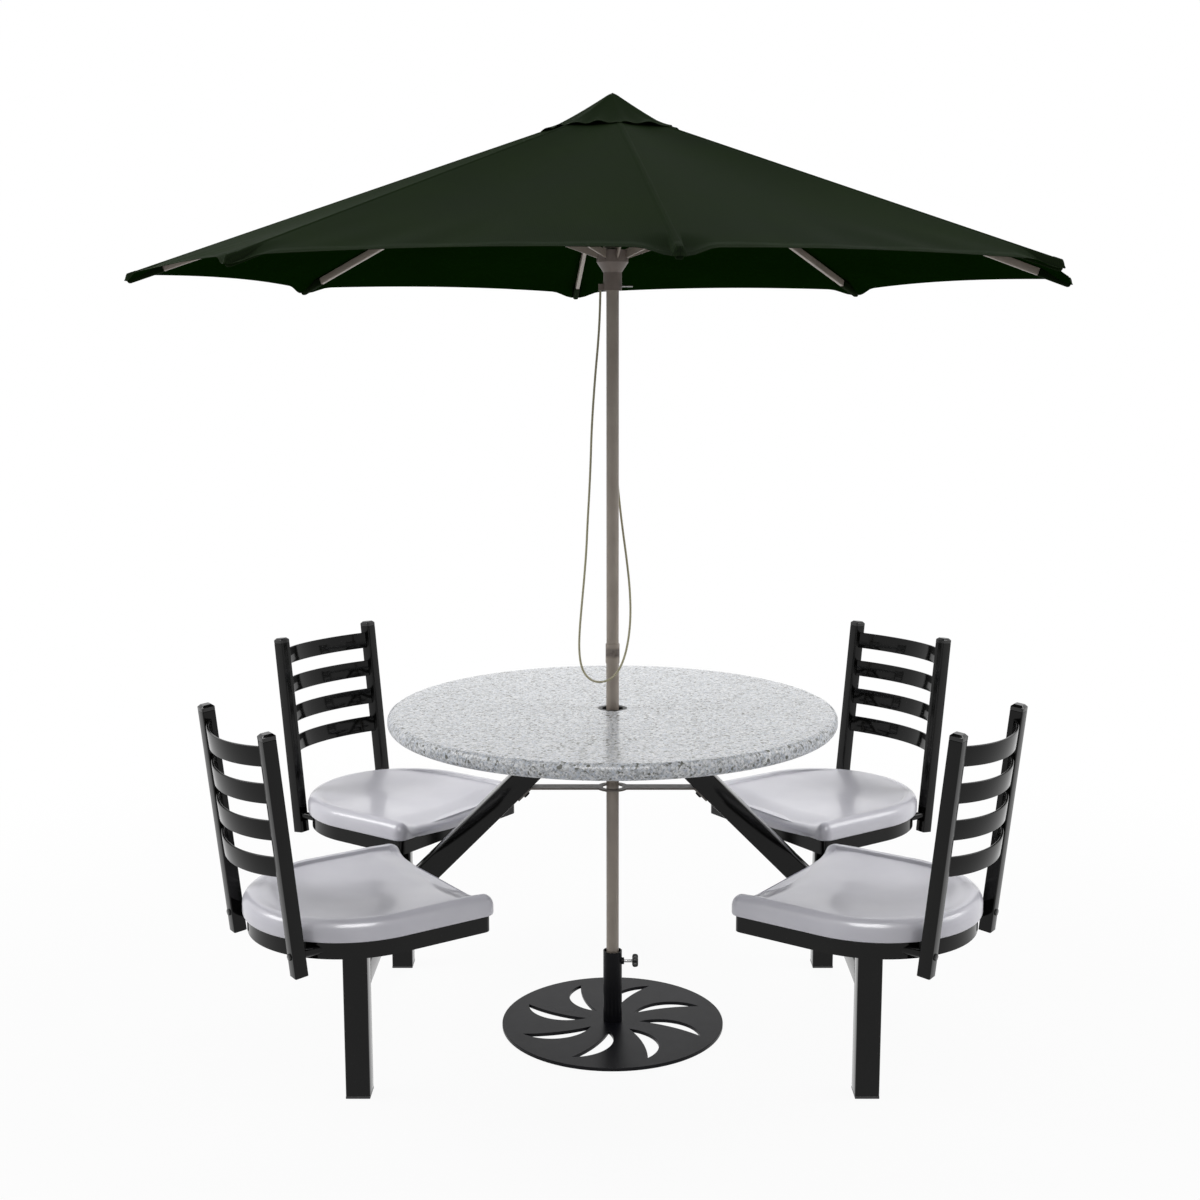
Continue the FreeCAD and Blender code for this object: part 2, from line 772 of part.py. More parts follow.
def vent_cap():
    point = crown_stub_radius * math.cos(math.pi / rib_count)
    skin = tent_skin(vent_radius, vent_edge_z(), point, vent_edge_z() + (vent_radius - point) * vent_slope())
    peak_z = vent_edge_z() + (vent_radius - point) * vent_slope()
    plug = tent(ring_of_points(point, peak_z), ring_of_points(point, peak_z + canopy_thickness))
    return scalloped(skin, vent_radius, vent_sag).fuse(plug).removeSplitter()


# Pull rope

def rope_path():
    # straight runs joined by arcs, each as large as its two runs allow
    points = [V(*p) for p in rope_points]
    edges = []
    radii = []
    last = points[0]
    for before, corner, after in zip(points, points[1:], points[2:]):
        into = (corner - before).normalize()
        out = (after - corner).normalize()
        turn = into.getAngle(out)
        cut_back = rope_arc_share * min((corner - before).Length, (after - corner).Length)
        radius = cut_back / math.tan(turn / 2)
        start = corner - into * cut_back
        end = corner + out * cut_back
        inward = (out - into).normalize()
        middle = corner + inward * (radius / math.cos(turn / 2) - radius)
        edges.append(Part.LineSegment(last, start).toShape())
        edges.append(Part.Arc(start, middle, end).toShape())
        radii.append(radius)
        last = end
    edges.append(Part.LineSegment(last, points[-1]).toShape())
    print("rope least bend radius", round(min(radii), 1), "largest", round(max(radii)))
    return Part.Wire(edges)


def pull_rope():
    path = rope_path()
    first = V(*rope_points[0])
    heading = V(*rope_points[1]) - first
    section = Part.Wire(Part.makeCircle(rope_diameter / 2, first, heading))
    rope = path.makePipeShell([section], True, False)
    plain = math.pi * (rope_diameter / 2) ** 2 * path.Length
    print("rope length", round(path.Length), "volume share", round(rope.Volume / plain, 4))
    return rope


save("table_top", [table_top()])
save("hole_liner", [hole_liner()])
save("seat_posts", seat_posts())
save("foot_plugs", foot_plugs())
save("crossbars", crossbars())
save("table_arms", table_arms())
save("arm_plates", arm_plates())
save("table_screws", table_screws())
save("guide_bar", [guide_bar()])
save("guide_bolts", guide_bolts())
save("swivel_bases", swivel_bases())
for seat_name, seat_place, seat_degrees in seat_places():
    save("seat_shell_" + seat_name, at_seat([seat_shell()], seat_place, seat_degrees))
    save("seat_frame_" + seat_name, at_seat([seat_frame()], seat_place, seat_degrees))
    save("back_uprights_" + seat_name, at_seat(back_uprights(), seat_place, seat_degrees))
    save("back_slats_" + seat_name, at_seat(back_slats(), seat_place, seat_degrees))
    save("back_fittings_" + seat_name, at_seat(back_fittings(), seat_place, seat_degrees))
save("base_plate", [base_plate()])
save("base_tube", [base_tube()])
save("clamp_screw", [clamp_screw()])
save("clamp_knob", [clamp_knob()])
save("lower_pole", [lower_pole()])
save("upper_pole", [upper_pole()])
save("crown_hub", [crown_hub()])
save("runner", [runner()])
save("lock_pin", [lock_pin()])
for rib_index in range(rib_count):
    save("rib_" + str(rib_index + 1), [turned(rib(), rib_angle(rib_index))])
    save("stretcher_" + str(rib_index + 1), [turned(stretcher(), rib_angle(rib_index))])
save("canopy", [canopy()])
save("vent_cap", [vent_cap()])
save("pull_rope", [pull_rope()])
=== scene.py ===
import json
import math

import bmesh
import bpy
import numpy as np
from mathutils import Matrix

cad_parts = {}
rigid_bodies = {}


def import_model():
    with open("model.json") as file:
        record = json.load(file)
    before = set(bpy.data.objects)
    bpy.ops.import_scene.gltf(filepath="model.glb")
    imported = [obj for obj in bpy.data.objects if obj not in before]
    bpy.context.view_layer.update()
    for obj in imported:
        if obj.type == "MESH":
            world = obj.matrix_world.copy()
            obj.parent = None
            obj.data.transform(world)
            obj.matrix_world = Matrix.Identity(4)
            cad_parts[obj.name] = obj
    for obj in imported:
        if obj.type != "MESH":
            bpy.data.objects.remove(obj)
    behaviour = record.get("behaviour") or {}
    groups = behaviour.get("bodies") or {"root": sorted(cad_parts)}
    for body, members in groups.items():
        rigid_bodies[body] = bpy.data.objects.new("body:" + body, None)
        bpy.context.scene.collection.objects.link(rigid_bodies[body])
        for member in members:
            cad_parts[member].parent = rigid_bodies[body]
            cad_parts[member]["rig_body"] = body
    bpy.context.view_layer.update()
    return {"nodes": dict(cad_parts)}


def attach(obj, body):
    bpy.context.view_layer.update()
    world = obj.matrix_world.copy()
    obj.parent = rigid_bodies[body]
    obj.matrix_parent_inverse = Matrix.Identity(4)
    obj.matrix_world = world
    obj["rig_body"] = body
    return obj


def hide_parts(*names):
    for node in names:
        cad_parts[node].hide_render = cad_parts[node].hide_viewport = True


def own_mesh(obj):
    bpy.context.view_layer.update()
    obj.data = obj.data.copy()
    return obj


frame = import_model()
mm = 0.001
seatNames = ("front_left", "front_right", "back_left", "back_right")
ribNumbers = range(1, 9)
ribStep = 45


# camera at the photograph's viewing angle: standing height, looking a little down
view = {"place": (0.0, -3.6, 1.576), "downDegrees": 8.9, "lens": 48.2, "sensor": 36, "shiftX": -0.0105}
cameraData = bpy.data.cameras.new("camera")
cameraData.lens = view["lens"]
cameraData.sensor_width = view["sensor"]
cameraData.shift_x = view["shiftX"]
camera = bpy.data.objects.new("camera", cameraData)
camera.location = view["place"]
camera.rotation_euler = (math.radians(90 - view["downDegrees"]), 0, 0)
bpy.context.scene.collection.objects.link(camera)
bpy.context.scene.camera = camera


# materials: each starts from the real finish; pattern sizes are in mm, some coarser than real so that they show

def linear(hexColour):
    # sRGB hex to linear: divide by 12.92 near black, otherwise the 2.4 power of (c + 0.055) / 1.055
    srgb = np.array([int(hexColour[i:i + 2], 16) for i in (1, 3, 5)]) / 255
    parts = np.where(srgb <= 0.04045, srgb / 12.92, ((srgb + 0.055) / 1.055) ** 2.4)
    return (*parts.tolist(), 1.0)


def addNode(tree, kind, inputs=None, feeds=None, stops=None, **settings):
    # one node: inputs are fixed values or sockets to link from, feeds are sockets to link to, and stops are a ramp's
    # kind and its (place, hex) pairs
    node = tree.nodes.new("ShaderNode" + kind)
    for key, value in settings.items():
        setattr(node, key, value)
    for key, value in (inputs or {}).items():
        if isinstance(value, bpy.types.NodeSocket):
            tree.links.new(value, node.inputs[key])
        else:
            node.inputs[key].default_value = value
    for key, target in (feeds or {}).items():
        tree.links.new(node.outputs[key], target)
    if stops:
        ramp = node.color_ramp
        ramp.interpolation = stops[0]
        while len(ramp.elements) < len(stops) - 1:
            ramp.elements.new(0.5)
        for element, (position, hexColour) in zip(ramp.elements, stops[1:]):
            element.position = position
            element.color = linear(hexColour)
    return node.outputs


def newMaterial(name, sockets):
    material = bpy.data.materials.new(name)
    material.use_nodes = True
    tree = material.node_tree
    finish = tree.nodes["Principled BSDF"].inputs
    for key, value in sockets.items():
        finish[key].default_value = value
    return material, tree, finish, addNode(tree, "TexCoord")


def mottled(name, sockets, hexes, shadeSize, roughness, roughSize, grain):
    # colour drifts between two hexes over shadeSize and gloss over roughSize; grain is a bump's (size, strength,
    # depth), and sizes are in mm
    material, tree, finish, place = newMaterial(name, sockets)
    spot = place["Object"]
    shade = addNode(tree, "TexNoise", {"Vector": spot, "Scale": 1 / (shadeSize * mm), "Detail": 3.0})
    addNode(tree, "ValToRGB", {"Fac": shade["Fac"]}, {"Color": finish["Base Color"]},
            ("LINEAR", (0.3, hexes[0]), (0.7, hexes[1])))
    wear = addNode(tree, "TexNoise", {"Vector": spot, "Scale": 1 / (roughSize * mm), "Detail": 4.0})
    addNode(tree, "MapRange", {"Value": wear["Fac"], "To Min": roughness[0], "To Max": roughness[1]},
            {"Result": finish["Roughness"]})
    skin = addNode(tree, "TexNoise", {"Vector": spot, "Scale": 1 / (grain[0] * mm)})
    addNode(tree, "Bump", {"Height": skin["Fac"], "Strength": grain[1], "Distance": grain[2] * mm},
            {"Normal": finish["Normal"]})
    return material


# gloss powder coat on steel: near black, sharp reflections rippled by 3 mm orange peel
glossBlack = mottled("steelPowderCoatedGlossBlack", {"Specular IOR Level": 0.2}, ("#080808", "#0e0e0d"),
                     90, (0.06, 0.13), 35, (3, 0.05, 0.15))
# the stand's coat is bluer and less glossy, so its reflections are soft
satinBlack = mottled("steelPowderCoatedSatinBlack", {"Specular IOR Level": 0.12}, ("#08080c", "#0e0e13"),
                     90, (0.29, 0.38), 35, (3, 0.15, 0.15))
# pole and ribs: thin taupe coat on drawn aluminium, with soft long highlights
taupeCoat = mottled("aluminiumPowderCoatedTaupe", {"Coat Weight": 0.1, "Coat Roughness": 0.1}, ("#958a7f", "#a69b90"),
                    90, (0.34, 0.46), 35, (3, 0.12, 0.15))
# guide bar: satin grey-brown enamel on flat steel
guideCoat = mottled("steelEnamelledGreyBrown", {"IOR": 1.5}, ("#686059", "#786f67"),
                    60, (0.3, 0.42), 30, (3, 0.12, 0.15))
# moulded plastics: spark-eroded grain and a low even sheen
blackNylon = mottled("nylonMouldedBlack", {"IOR": 1.53}, ("#0d0d0e", "#171717"),
                     30, (0.36, 0.48), 12, (1.5, 0.2, 0.1))
glossCaps = mottled("polypropyleneMouldedGlossBlack", {"IOR": 1.49}, ("#0c0c0c", "#151514"),
                    30, (0.1, 0.18), 12, (2, 0.15, 0.1))
taupeNylon = mottled("nylonMouldedTaupe", {"IOR": 1.53}, ("#6d625b", "#7d7169"),
                     30, (0.42, 0.55), 12, (1.5, 0.2, 0.1))
# plated steel: bright metal whose fine handling marks vary the gloss
zincSteel = mottled("steelZincPlated", {"Metallic": 1.0}, ("#a3a3a0", "#b0b0ae"), 8, (0.3, 0.5), 4, (1, 0.12, 0.05))
chromeSteel = mottled("steelChromePlated", {"Metallic": 1.0}, ("#d6d6d6", "#dedede"),
                      20, (0.05, 0.14), 4, (1, 0.03, 0.05))
# compression-moulded polyester seat: lavender-grey gel surface, glossy, with very soft flow marks
greySeat = mottled("polyesterCompositeMouldedGrey", {"Coat Weight": 0.5, "Coat Roughness": 0.14, "IOR": 1.5},
                   ("#d0cfd8", "#dad9e1"), 130, (0.29, 0.37), 60, (24, 0.04, 0.3))


def speckledComposite():
    # polished cast composite: pale body with white, bluish, grey and dark chips under a clear gloss.
    # the chips are really 2 to 4 mm; drawn at 3 to 6 mm so that they show, the sparse dark ones largest
    material, tree, finish, place = newMaterial(
        "quartzCompositePolished", {"Coat Weight": 0.25, "Coat Roughness": 0.06, "Specular IOR Level": 0.35})
    spot = place["Object"]
    layers = []
    for size, *stops in (
            (5.0, (0.0, "#83847f"), (0.13, "#a8abae"), (0.31, "#c0c7d3"), (0.53, "#d7d9dd"), (0.79, "#eeeff0")),
            (3.2, (0.0, "#62635f"), (0.12, "#9c9ea0"), (0.31, "#cbd0d8"), (0.67, "#ebecee")),
            (6.0, (0.0, "#ffffff"), (0.05, "#000000"))):
        chips = addNode(tree, "TexVoronoi", {"Vector": spot, "Scale": 1 / (size * mm), "Randomness": 1.0})
        draw = addNode(tree, "SeparateColor", {"Color": chips["Color"]})
        layers.append(addNode(tree, "ValToRGB", {"Fac": draw["Red"]}, stops=("CONSTANT", *stops))["Color"])
    body = addNode(tree, "Mix", {0: 0.5, 6: layers[0], 7: layers[1]}, data_type="RGBA")
    addNode(tree, "Mix", {0: layers[2], 6: body[2], 7: linear("#6a6b65")}, {2: finish["Base Color"]}, data_type="RGBA")
    polish = addNode(tree, "TexNoise", {"Vector": spot, "Scale": 1 / (25 * mm), "Detail": 3.0})
    shine = addNode(tree, "MapRange", {"Value": polish["Fac"], "To Min": 0.14, "To Max": 0.24})
    # the rounded edge, below the top's own height, is only honed by hand, so its highlight spreads out
    flatTop, allHoned = 762 * mm, 756 * mm
    height = addNode(tree, "SeparateXYZ", {"Vector": spot})
    honed = addNode(tree, "MapRange", {"Value": height["Z"], "From Min": flatTop, "From Max": allHoned, "To Max": 0.36})
    addNode(tree, "Math", {0: shine["Result"], 1: honed["Result"]}, {0: finish["Roughness"]}, operation="ADD")
    skin = addNode(tree, "TexNoise", {"Vector": spot, "Scale": 1 / (6 * mm)})
    addNode(tree, "Bump", {"Height": skin["Fac"], "Strength": 0.03, "Distance": 0.1 * mm}, {"Normal": finish["Normal"]})
    return material


def wovenCanvas(name, hexes, sheen):
    # solution-dyed acrylic canvas: matt dark green with a plain weave; a wave of scale 1 repeats every tau / 20.
    # thread spacing is really 0.6 mm; drawn at 4 mm so that it shows
    material, tree, finish, place = newMaterial(name, {"Specular IOR Level": sheen})
    thread = 4 * mm
    wave = {"Vector": place["UV"], "Scale": 1 / thread * math.tau / 20, "Distortion": 0.6, "Detail": 1.0}
    warp, weft = (addNode(tree, "TexWave", wave, bands_direction=way)["Fac"] for way in ("X", "Y"))
    weave = addNode(tree, "Math", {0: warp, 1: weft}, operation="MULTIPLY")[0]
    fade = addNode(tree, "TexNoise", {"Vector": place["Object"], "Scale": 1 / (220 * mm), "Detail": 4.0})["Fac"]
    mottle = addNode(tree, "Mix", {0: 0.35, 2: fade, 3: weave}, data_type="FLOAT")
    addNode(tree, "ValToRGB", {"Fac": mottle[0]}, {"Color": finish["Base Color"]},
            ("LINEAR", (0.2, hexes[0]), (0.8, hexes[1])))
    addNode(tree, "MapRange", {"Value": fade, "To Min": 0.78, "To Max": 0.92}, {"Result": finish["Roughness"]})
    addNode(tree, "Bump", {"Height": weave, "Strength": 0.25, "Distance": 0.3 * mm}, {"Normal": finish["Normal"]})
    return material


def braidedCord():
    # braided polyester: pale straw with darker crossing strands, greener in places, drawn on the cord's own length
    material, tree, finish, place = newMaterial("polyesterCordBraided", {"Sheen Weight": 0.2})
    strands = addNode(tree, "TexWave", {"Vector": place["UV"], "Scale": 6.0, "Distortion": 1.0},
                      bands_direction="DIAGONAL")["Fac"]
    drift = addNode(tree, "TexNoise", {"Vector": place["Object"], "Scale": 1 / (300 * mm)})
    straw, green = (addNode(tree, "ValToRGB", {"Fac": strands}, stops=("LINEAR", (0.2, low), (0.8, high)))["Color"]
                    for low, high in (("#9c8f80", "#c2b5a6"), ("#9fa077", "#c6c798")))
    addNode(tree, "Mix", {0: drift["Fac"], 6: straw, 7: green}, {2: finish["Base Color"]}, data_type="RGBA")
    addNode(tree, "MapRange", {"Value": strands, "To Min": 0.65, "To Max": 0.85}, {"Result": finish["Roughness"]})
    addNode(tree, "Bump", {"Height": strands, "Strength": 0.3, "Distance": 0.3 * mm}, {"Normal": finish["Normal"]})
    return material


speckledTop = speckledComposite()
greenCanvas = wovenCanvas("acrylicCanvasWovenGreen", ("#0e190a", "#19270e"), 0.03)
# the under face is given darker greens than the top, as painted shade, so it reads nearly black
greenLining = wovenCanvas("acrylicCanvasCoatedUnderside", ("#061802", "#0a2003"), 0.0)
strawCord = braidedCord()
print("materials made:", len(bpy.data.materials))


# mesh helpers: a shape is (points, faces), and a piece joins one or more shapes

def inMm(**lengths):
    # a dictionary of lengths that are given in mm
    return {name: length * mm for name, length in lengths.items()}


def fullTurn(count):
    return np.linspace(0, math.tau, count, endpoint=False)


def joined(*parts):
    # points from coordinates that are given apart
    return np.stack(np.broadcast_arrays(*parts), -1)


def compass(turn):
    # the (cosine, sine) pair of each angle
    return joined(np.cos(turn), np.sin(turn))


def turned(one, two, degrees):
    # a pair of coordinates, turned from the first axis towards the second
    cos, sin = math.cos(math.radians(degrees)), math.sin(math.radians(degrees))
    return one * cos - two * sin, one * sin + two * cos


def gridShape(grid, rowsClosed=False, columnsClosed=False):
    # one quad between each two neighbouring rows and columns, wrapping round where closed
    rows, columns = grid.shape[:2]
    r = np.arange(rows if rowsClosed else rows - 1)[:, None]
    c = np.arange(columns if columnsClosed else columns - 1)
    rNext, cNext = (r + 1) % rows, (c + 1) % columns
    quads = joined(r * columns + c, r * columns + cNext, rNext * columns + cNext, rNext * columns + c)
    return grid.reshape(-1, 3), quads.reshape(-1, 4).tolist()


def capped(rings):
    # rings made into a closed tube, with one face over the first and one over the last
    points, faces = gridShape(rings, columnsClosed=True)
    corners = list(range(len(points)))
    columns = rings.shape[1]
    return points, faces + [corners[:columns][::-1], corners[-columns:]]


def loopUv(uv):
    # one UV for each corner of each quad, in gridShape's order
    corners = np.stack([uv[:-1, :-1], uv[:-1, 1:], uv[1:, 1:], uv[1:, :-1]], 2)
    return corners.reshape(-1, 2)


def tubeUv(around, along):
    # a tube's UV grid from its distances round and along, with nothing on its two end faces
    uv = loopUv(joined(*np.meshgrid(around, along)))
    return np.concatenate([uv, np.zeros((2 * (len(around) - 1), 2))])


def swept(section, spine, across, upward, scales=None):
    # each ring is its spine point plus the section's two numbers times the across and upward directions
    scales = np.ones(len(spine)) if scales is None else np.asarray(scales)
    flat = section[None] * scales[:, None, None]
    across, upward = (np.broadcast_to(way, spine.shape)[:, None] for way in (across, upward))
    rings = spine[:, None] + flat[..., :1] * across + flat[..., 1:] * upward
    return capped(rings)


def straight(section, start, end, across, edgeSoftness=0.0):
    # a section carried along a straight line, with its two ends drawn in a little so that the edges are soft
    start, end, across = (np.asarray(v, float) for v in (start, end, across))
    length = np.linalg.norm(end - start)
    along = (end - start) / length
    soft, half = edgeSoftness, np.abs(section).max()
    stations = np.array([0, soft, length - soft, length]) if soft else np.array([0, length])
    scales = np.array([1 - soft / half, 1, 1, 1 - soft / half]) if soft else None
    return swept(section, start + stations[:, None] * along, across, np.cross(along, across), scales)


def roundedBox(width, height, radius, steps=5):
    # four quarter circles of the radius, placed at the corners of the smaller box inside
    turn = np.arange(4)[:, None] * math.pi / 2 + np.linspace(0, math.pi / 2, steps)
    corner = np.array([(1, 1), (-1, 1), (-1, -1), (1, -1)]) * (np.array([width, height]) / 2 - radius)
    return (corner[:, None] + radius * compass(turn)).reshape(-1, 2)


def revolved(profile, segments):
    # the closed profile's (radius, height) points turned about the vertical axis
    radius, height = np.array(profile).T[..., None]
    turn = fullTurn(segments)
    return gridShape(joined(radius * np.cos(turn), radius * np.sin(turn), height), True, True)


def makePiece(name, shapes, material, body, nodes=(), sharpDegrees=32, uv=None, recalc=True):
    starts = np.cumsum([0] + [len(points) for points, faces in shapes]).tolist()
    faces = [[i + start for i in face] for start, shape in zip(starts, shapes) for face in shape[1]]
    mesh = bpy.data.meshes.new(name)
    mesh.from_pydata(np.concatenate([shape[0] for shape in shapes]).tolist(), [], faces)
    if uv is not None:
        layer = mesh.uv_layers.new(name="cloth")
        layer.data.foreach_set("uv", np.asarray(uv, np.float32).ravel())
    if recalc:
        work = bmesh.new()
        work.from_mesh(mesh)
        bmesh.ops.remove_doubles(work, verts=work.verts, dist=1e-6)
        bmesh.ops.dissolve_degenerate(work, edges=work.edges, dist=1e-7)
        bmesh.ops.recalc_face_normals(work, faces=work.faces)
        work.to_mesh(mesh)
        work.free()
    return finishPiece(name, mesh, material, body, nodes, sharpDegrees)


def finishPiece(name, mesh, material, body, nodes, sharpDegrees):
    mesh.polygons.foreach_set("use_smooth", np.ones(len(mesh.polygons), bool))
    mesh.set_sharp_from_angle(angle=math.radians(sharpDegrees))
    mesh.materials.clear()
    mesh.materials.append(material)
    piece = bpy.data.objects.new(name, mesh)
    bpy.context.scene.collection.objects.link(piece)
    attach(piece, body)
    if nodes:
        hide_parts(*nodes)
    return piece


easing = {"merge": 2e-6, "flatDegrees": 0.2, "sharpDegrees": 30, "bevelDegrees": 35, "segments": 2}


def softened(node, material, width):
    # a merged copy of the CAD node, with every hard edge eased by a small bevel, its width in mm
    e = easing
    source = frame["nodes"][node]
    mesh = source.data.copy()
    work = bmesh.new()
    work.from_mesh(mesh)
    bmesh.ops.remove_doubles(work, verts=work.verts, dist=e["merge"])
    bmesh.ops.dissolve_limit(work, angle_limit=math.radians(e["flatDegrees"]), verts=work.verts, edges=work.edges)
    work.to_mesh(mesh)
    work.free()
    for layer in [a for a in mesh.attributes if a.name == "custom_normal"]:
        mesh.attributes.remove(layer)
    piece = finishPiece("soft_" + node, mesh, material, source["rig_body"], [node], e["sharpDegrees"])
    bevel = piece.modifiers.new("easedEdges", "BEVEL")
    bevel.width = width * mm
    bevel.segments = e["segments"]
    bevel.limit_method = "ANGLE"
    bevel.angle_limit = math.radians(e["bevelDegrees"])
    bevel.harden_normals = True


# pull rope first: a limp loop of cord from one lug of the runner to the other
rope = {
    "diameter": 5 * mm, "strandPitch": 14 * mm, "strandDepth": 0.08, "sides": 12,
    "runnerTravel": 0.6035,
    "route": [
        (-27, 0, 1701.6), (-28, -1, 1650), (-32, -2, 1587), (-38, -3, 1523), (-43, -5, 1457), (-47, -5, 1391),
        (-49, -6, 1326), (-52, -8, 1260), (-56, -9, 1194), (-59, -11, 1128), (-64, -13, 1064), (-70, -16, 1000),
        (-75, -20, 942), (-76, -23, 896), (-70, -27, 858), (-53, -31, 834), (-25, -34, 827), (4, -35, 841),
        (24, -33, 875), (36, -29, 924), (41, -22, 979), (39, -11, 1041), (32, 3, 1104), (23, 16, 1169),
        (15, 24, 1235), (9, 28, 1300), (5, 30, 1366), (3, 31, 1432), (1, 31, 1498), (-1, 30, 1563),
        (-1, 28, 1624), (0, 27, 1668), (0, 27, 1701.6),
    ],
}


def ropeLine():
    route = np.array(rope["route"]) * mm
    curve = bpy.data.curves.new("ropeRoute", "CURVE")
    curve.dimensions = "3D"
    spline = curve.splines.new("NURBS")
    spline.points.add(len(route) - 1)
    spline.points.foreach_set("co", np.c_[route, np.ones(len(route))].ravel())
    spline.order_u = 3
    spline.use_endpoint_u = True
    spline.resolution_u = 40
    holder = bpy.data.objects.new("ropeRoute", curve)
    bpy.context.scene.collection.objects.link(holder)
    bpy.context.view_layer.update()
    line = bpy.data.meshes.new_from_object(holder)
    points = np.zeros(len(line.vertices) * 3)
    line.vertices.foreach_get("co", points)
    bpy.data.objects.remove(holder)
    bpy.data.curves.remove(curve)
    bpy.data.meshes.remove(line)
    return points.reshape(-1, 3)


def makeRope():
    # rings stand across the line's direction; their radius swells and dips where braided strands cross
    line = ropeLine()
    along = np.gradient(line, axis=0)
    along /= np.linalg.norm(along, axis=1)[:, None]
    side = np.array([0.0, 1.0, 0.0]) - along * along[:, 1:2]
    side /= np.linalg.norm(side, axis=1)[:, None]
    front = np.cross(along, side)
    run = np.r_[0, np.cumsum(np.linalg.norm(np.diff(line, axis=0), axis=1))]
    turn = fullTurn(rope["sides"])
    phase = run[:, None] / rope["strandPitch"] * math.tau
    cross = np.cos(2 * turn + phase) * np.cos(2 * turn - phase)
    radius = rope["diameter"] / 2 * (1 - rope["strandDepth"] * (0.5 - 0.5 * cross))
    ring = np.cos(turn)[None, :, None] * side[:, None] + np.sin(turn)[None, :, None] * front[:, None]
    points = line[:, None] + radius[..., None] * ring
    uv = tubeUv(np.linspace(0, 1, rope["sides"] + 1), run / rope["strandPitch"])
    piece = makePiece("pullRope", [capped(points)], strawCord, "mast", ["pull_rope"], 80, uv)
    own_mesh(piece)
    return run[-1]


print("rope made, length", round(makeRope(), 3))


# round top: a flat disc whose edge is two quarter circles with a short wall between, and a liner in its hole
table = inMm(radius=512, top=762, thickness=36, edgeRound=15, hole=28, recess=33, recessEase=0.4, spokeGap=20,
             flange=1.5, linerWall=4, linerRound=1, easeIn=0.6, easeDown=0.5) | {
    "spokes": 8, "segments": 192, "linerSegments": 72}


def makeTable():
    t = table
    top, hole, recess, ease = t["top"], t["hole"], t["recess"], t["recessEase"]
    under, lip = top - t["thickness"], top - t["flange"]
    turn = np.linspace(0, math.pi / 2, 9)
    inset, rise = t["edgeRound"] * (1 - np.sin(turn)), t["edgeRound"] * (1 - np.cos(turn))
    inner = [(hole, under), (hole, lip), (recess, lip), (recess, top - ease), (recess + ease, top)]
    spokes = np.linspace(recess + t["spokeGap"], t["radius"] - t["edgeRound"] - t["spokeGap"], t["spokes"])
    profile = np.concatenate([inner, joined(spokes, top), joined(t["radius"] - inset, top - rise),
                              joined(t["radius"] - rise, under + inset)])
    makePiece("tableTop", [revolved(profile, t["segments"])], speckledTop, "table_frame", ["table_top"])
    bore, soft = hole - t["linerWall"], t["linerRound"]
    liner = [(bore, under), (bore, top - soft), (bore + soft, top), (recess - t["easeIn"], top),
             (recess, top - t["easeDown"]), (recess, lip), (hole, lip), (hole, under)]
    makePiece("holeLiner", [revolved(liner, t["linerSegments"])], blackNylon, "table_frame",
              ["hole_liner"])


makeTable()
print("table top made")


# square-tube frame: rolled tube, so each corner is a small round
tube = inMm(size=52, cornerRound=4, postX=541, postY=365, postTop=352, foot=6, crossbarZ=262, armWidth=50, armDepth=52,
            plateUnder=720)


def makeFrame():
    t = tube
    section = roundedBox(t["size"], t["size"], t["cornerRound"])
    outline = roundedBox(t["armWidth"], t["armDepth"], t["cornerRound"])
    reach = t["postY"] - t["size"] / 2
    posts, bars, arms = [], [], []
    for sx in (-1, 1):
        x, z = sx * t["postX"], t["crossbarZ"]
        posts += [straight(section, (x, y, t["foot"]), (x, y, t["postTop"]), (1, 0, 0))
                  for y in (-t["postY"], t["postY"])]
        bars.append(straight(section, (x, -reach, z), (x, reach, z), (1, 0, 0)))
        # each corner line of the 45 degree arm runs from the crossbar's face up to the plate
        along = np.array([-sx, 0, 1]) / math.sqrt(2)
        below = np.array([-sx, 0, -1]) / math.sqrt(2)
        base = np.array([x, 0, z]) + outline[:, :1] * [0, 1, 0] + outline[:, 1:] * below
        low = (t["size"] / 2 - t["postX"] + sx * base[:, 0]) * math.sqrt(2)
        high = (t["plateUnder"] - base[:, 2]) * math.sqrt(2)
        arms.append(capped(np.stack([base + low[:, None] * along, base + high[:, None] * along])))
    for name, shapes, node in (("seatPosts", posts, "seat_posts"), ("crossbars", bars, "crossbars"),
                               ("tableArms", arms, "table_arms")):
        makePiece(name, shapes, glossBlack, "table_frame", [node])


makeFrame()
softened("arm_plates", glossBlack, 0.8)
softened("table_screws", zincSteel, 0.6)
softened("guide_bar", guideCoat, 0.6)
softened("guide_bolts", glossBlack, 0.8)
softened("swivel_bases", glossBlack, 0.8)
softened("foot_plugs", blackNylon, 1)
print("frame made")


# seats, each made facing +X about its swivel and then turned into place; under is the wall's (inset, level) in mm
seat = inMm(front=212, halfWidth=230, backCentre=-1, middle=-10, cornerRound=26, top=468, edgeRound=24, dishDepth=11,
            rimWidth=30, rimSlope=2, slopeStart=14, creaseDepth=6, creaseWidth=5, creaseFrom=-170, creaseRamp=120,
            frontDip=15, frontRoll=80, dipStart=12, dipRamp=60) | {
    "dishReach": 0.75, "under": [(0, 432), (0, 427.5), (0.6, 425.5), (2.2, 424.2), (4, 424), (14, 424), (15, 440)],
    "turns": {"front_left": 35, "front_right": 145, "back_left": -35, "back_right": 215}}


def toSeat(points, name):
    x, y, z = np.asarray(points).T
    x, y = turned(x, y, seat["turns"][name])
    sx, sy = -1 if "left" in name else 1, -1 if "front" in name else 1
    return joined(x + sx * tube["postX"], y + sy * tube["postY"], z)


def eased(value):
    # smooth step: 0 below 0, 1 above 1, level at both ends
    value = np.clip(value, 0, 1)
    return value * value * (3 - 2 * value)


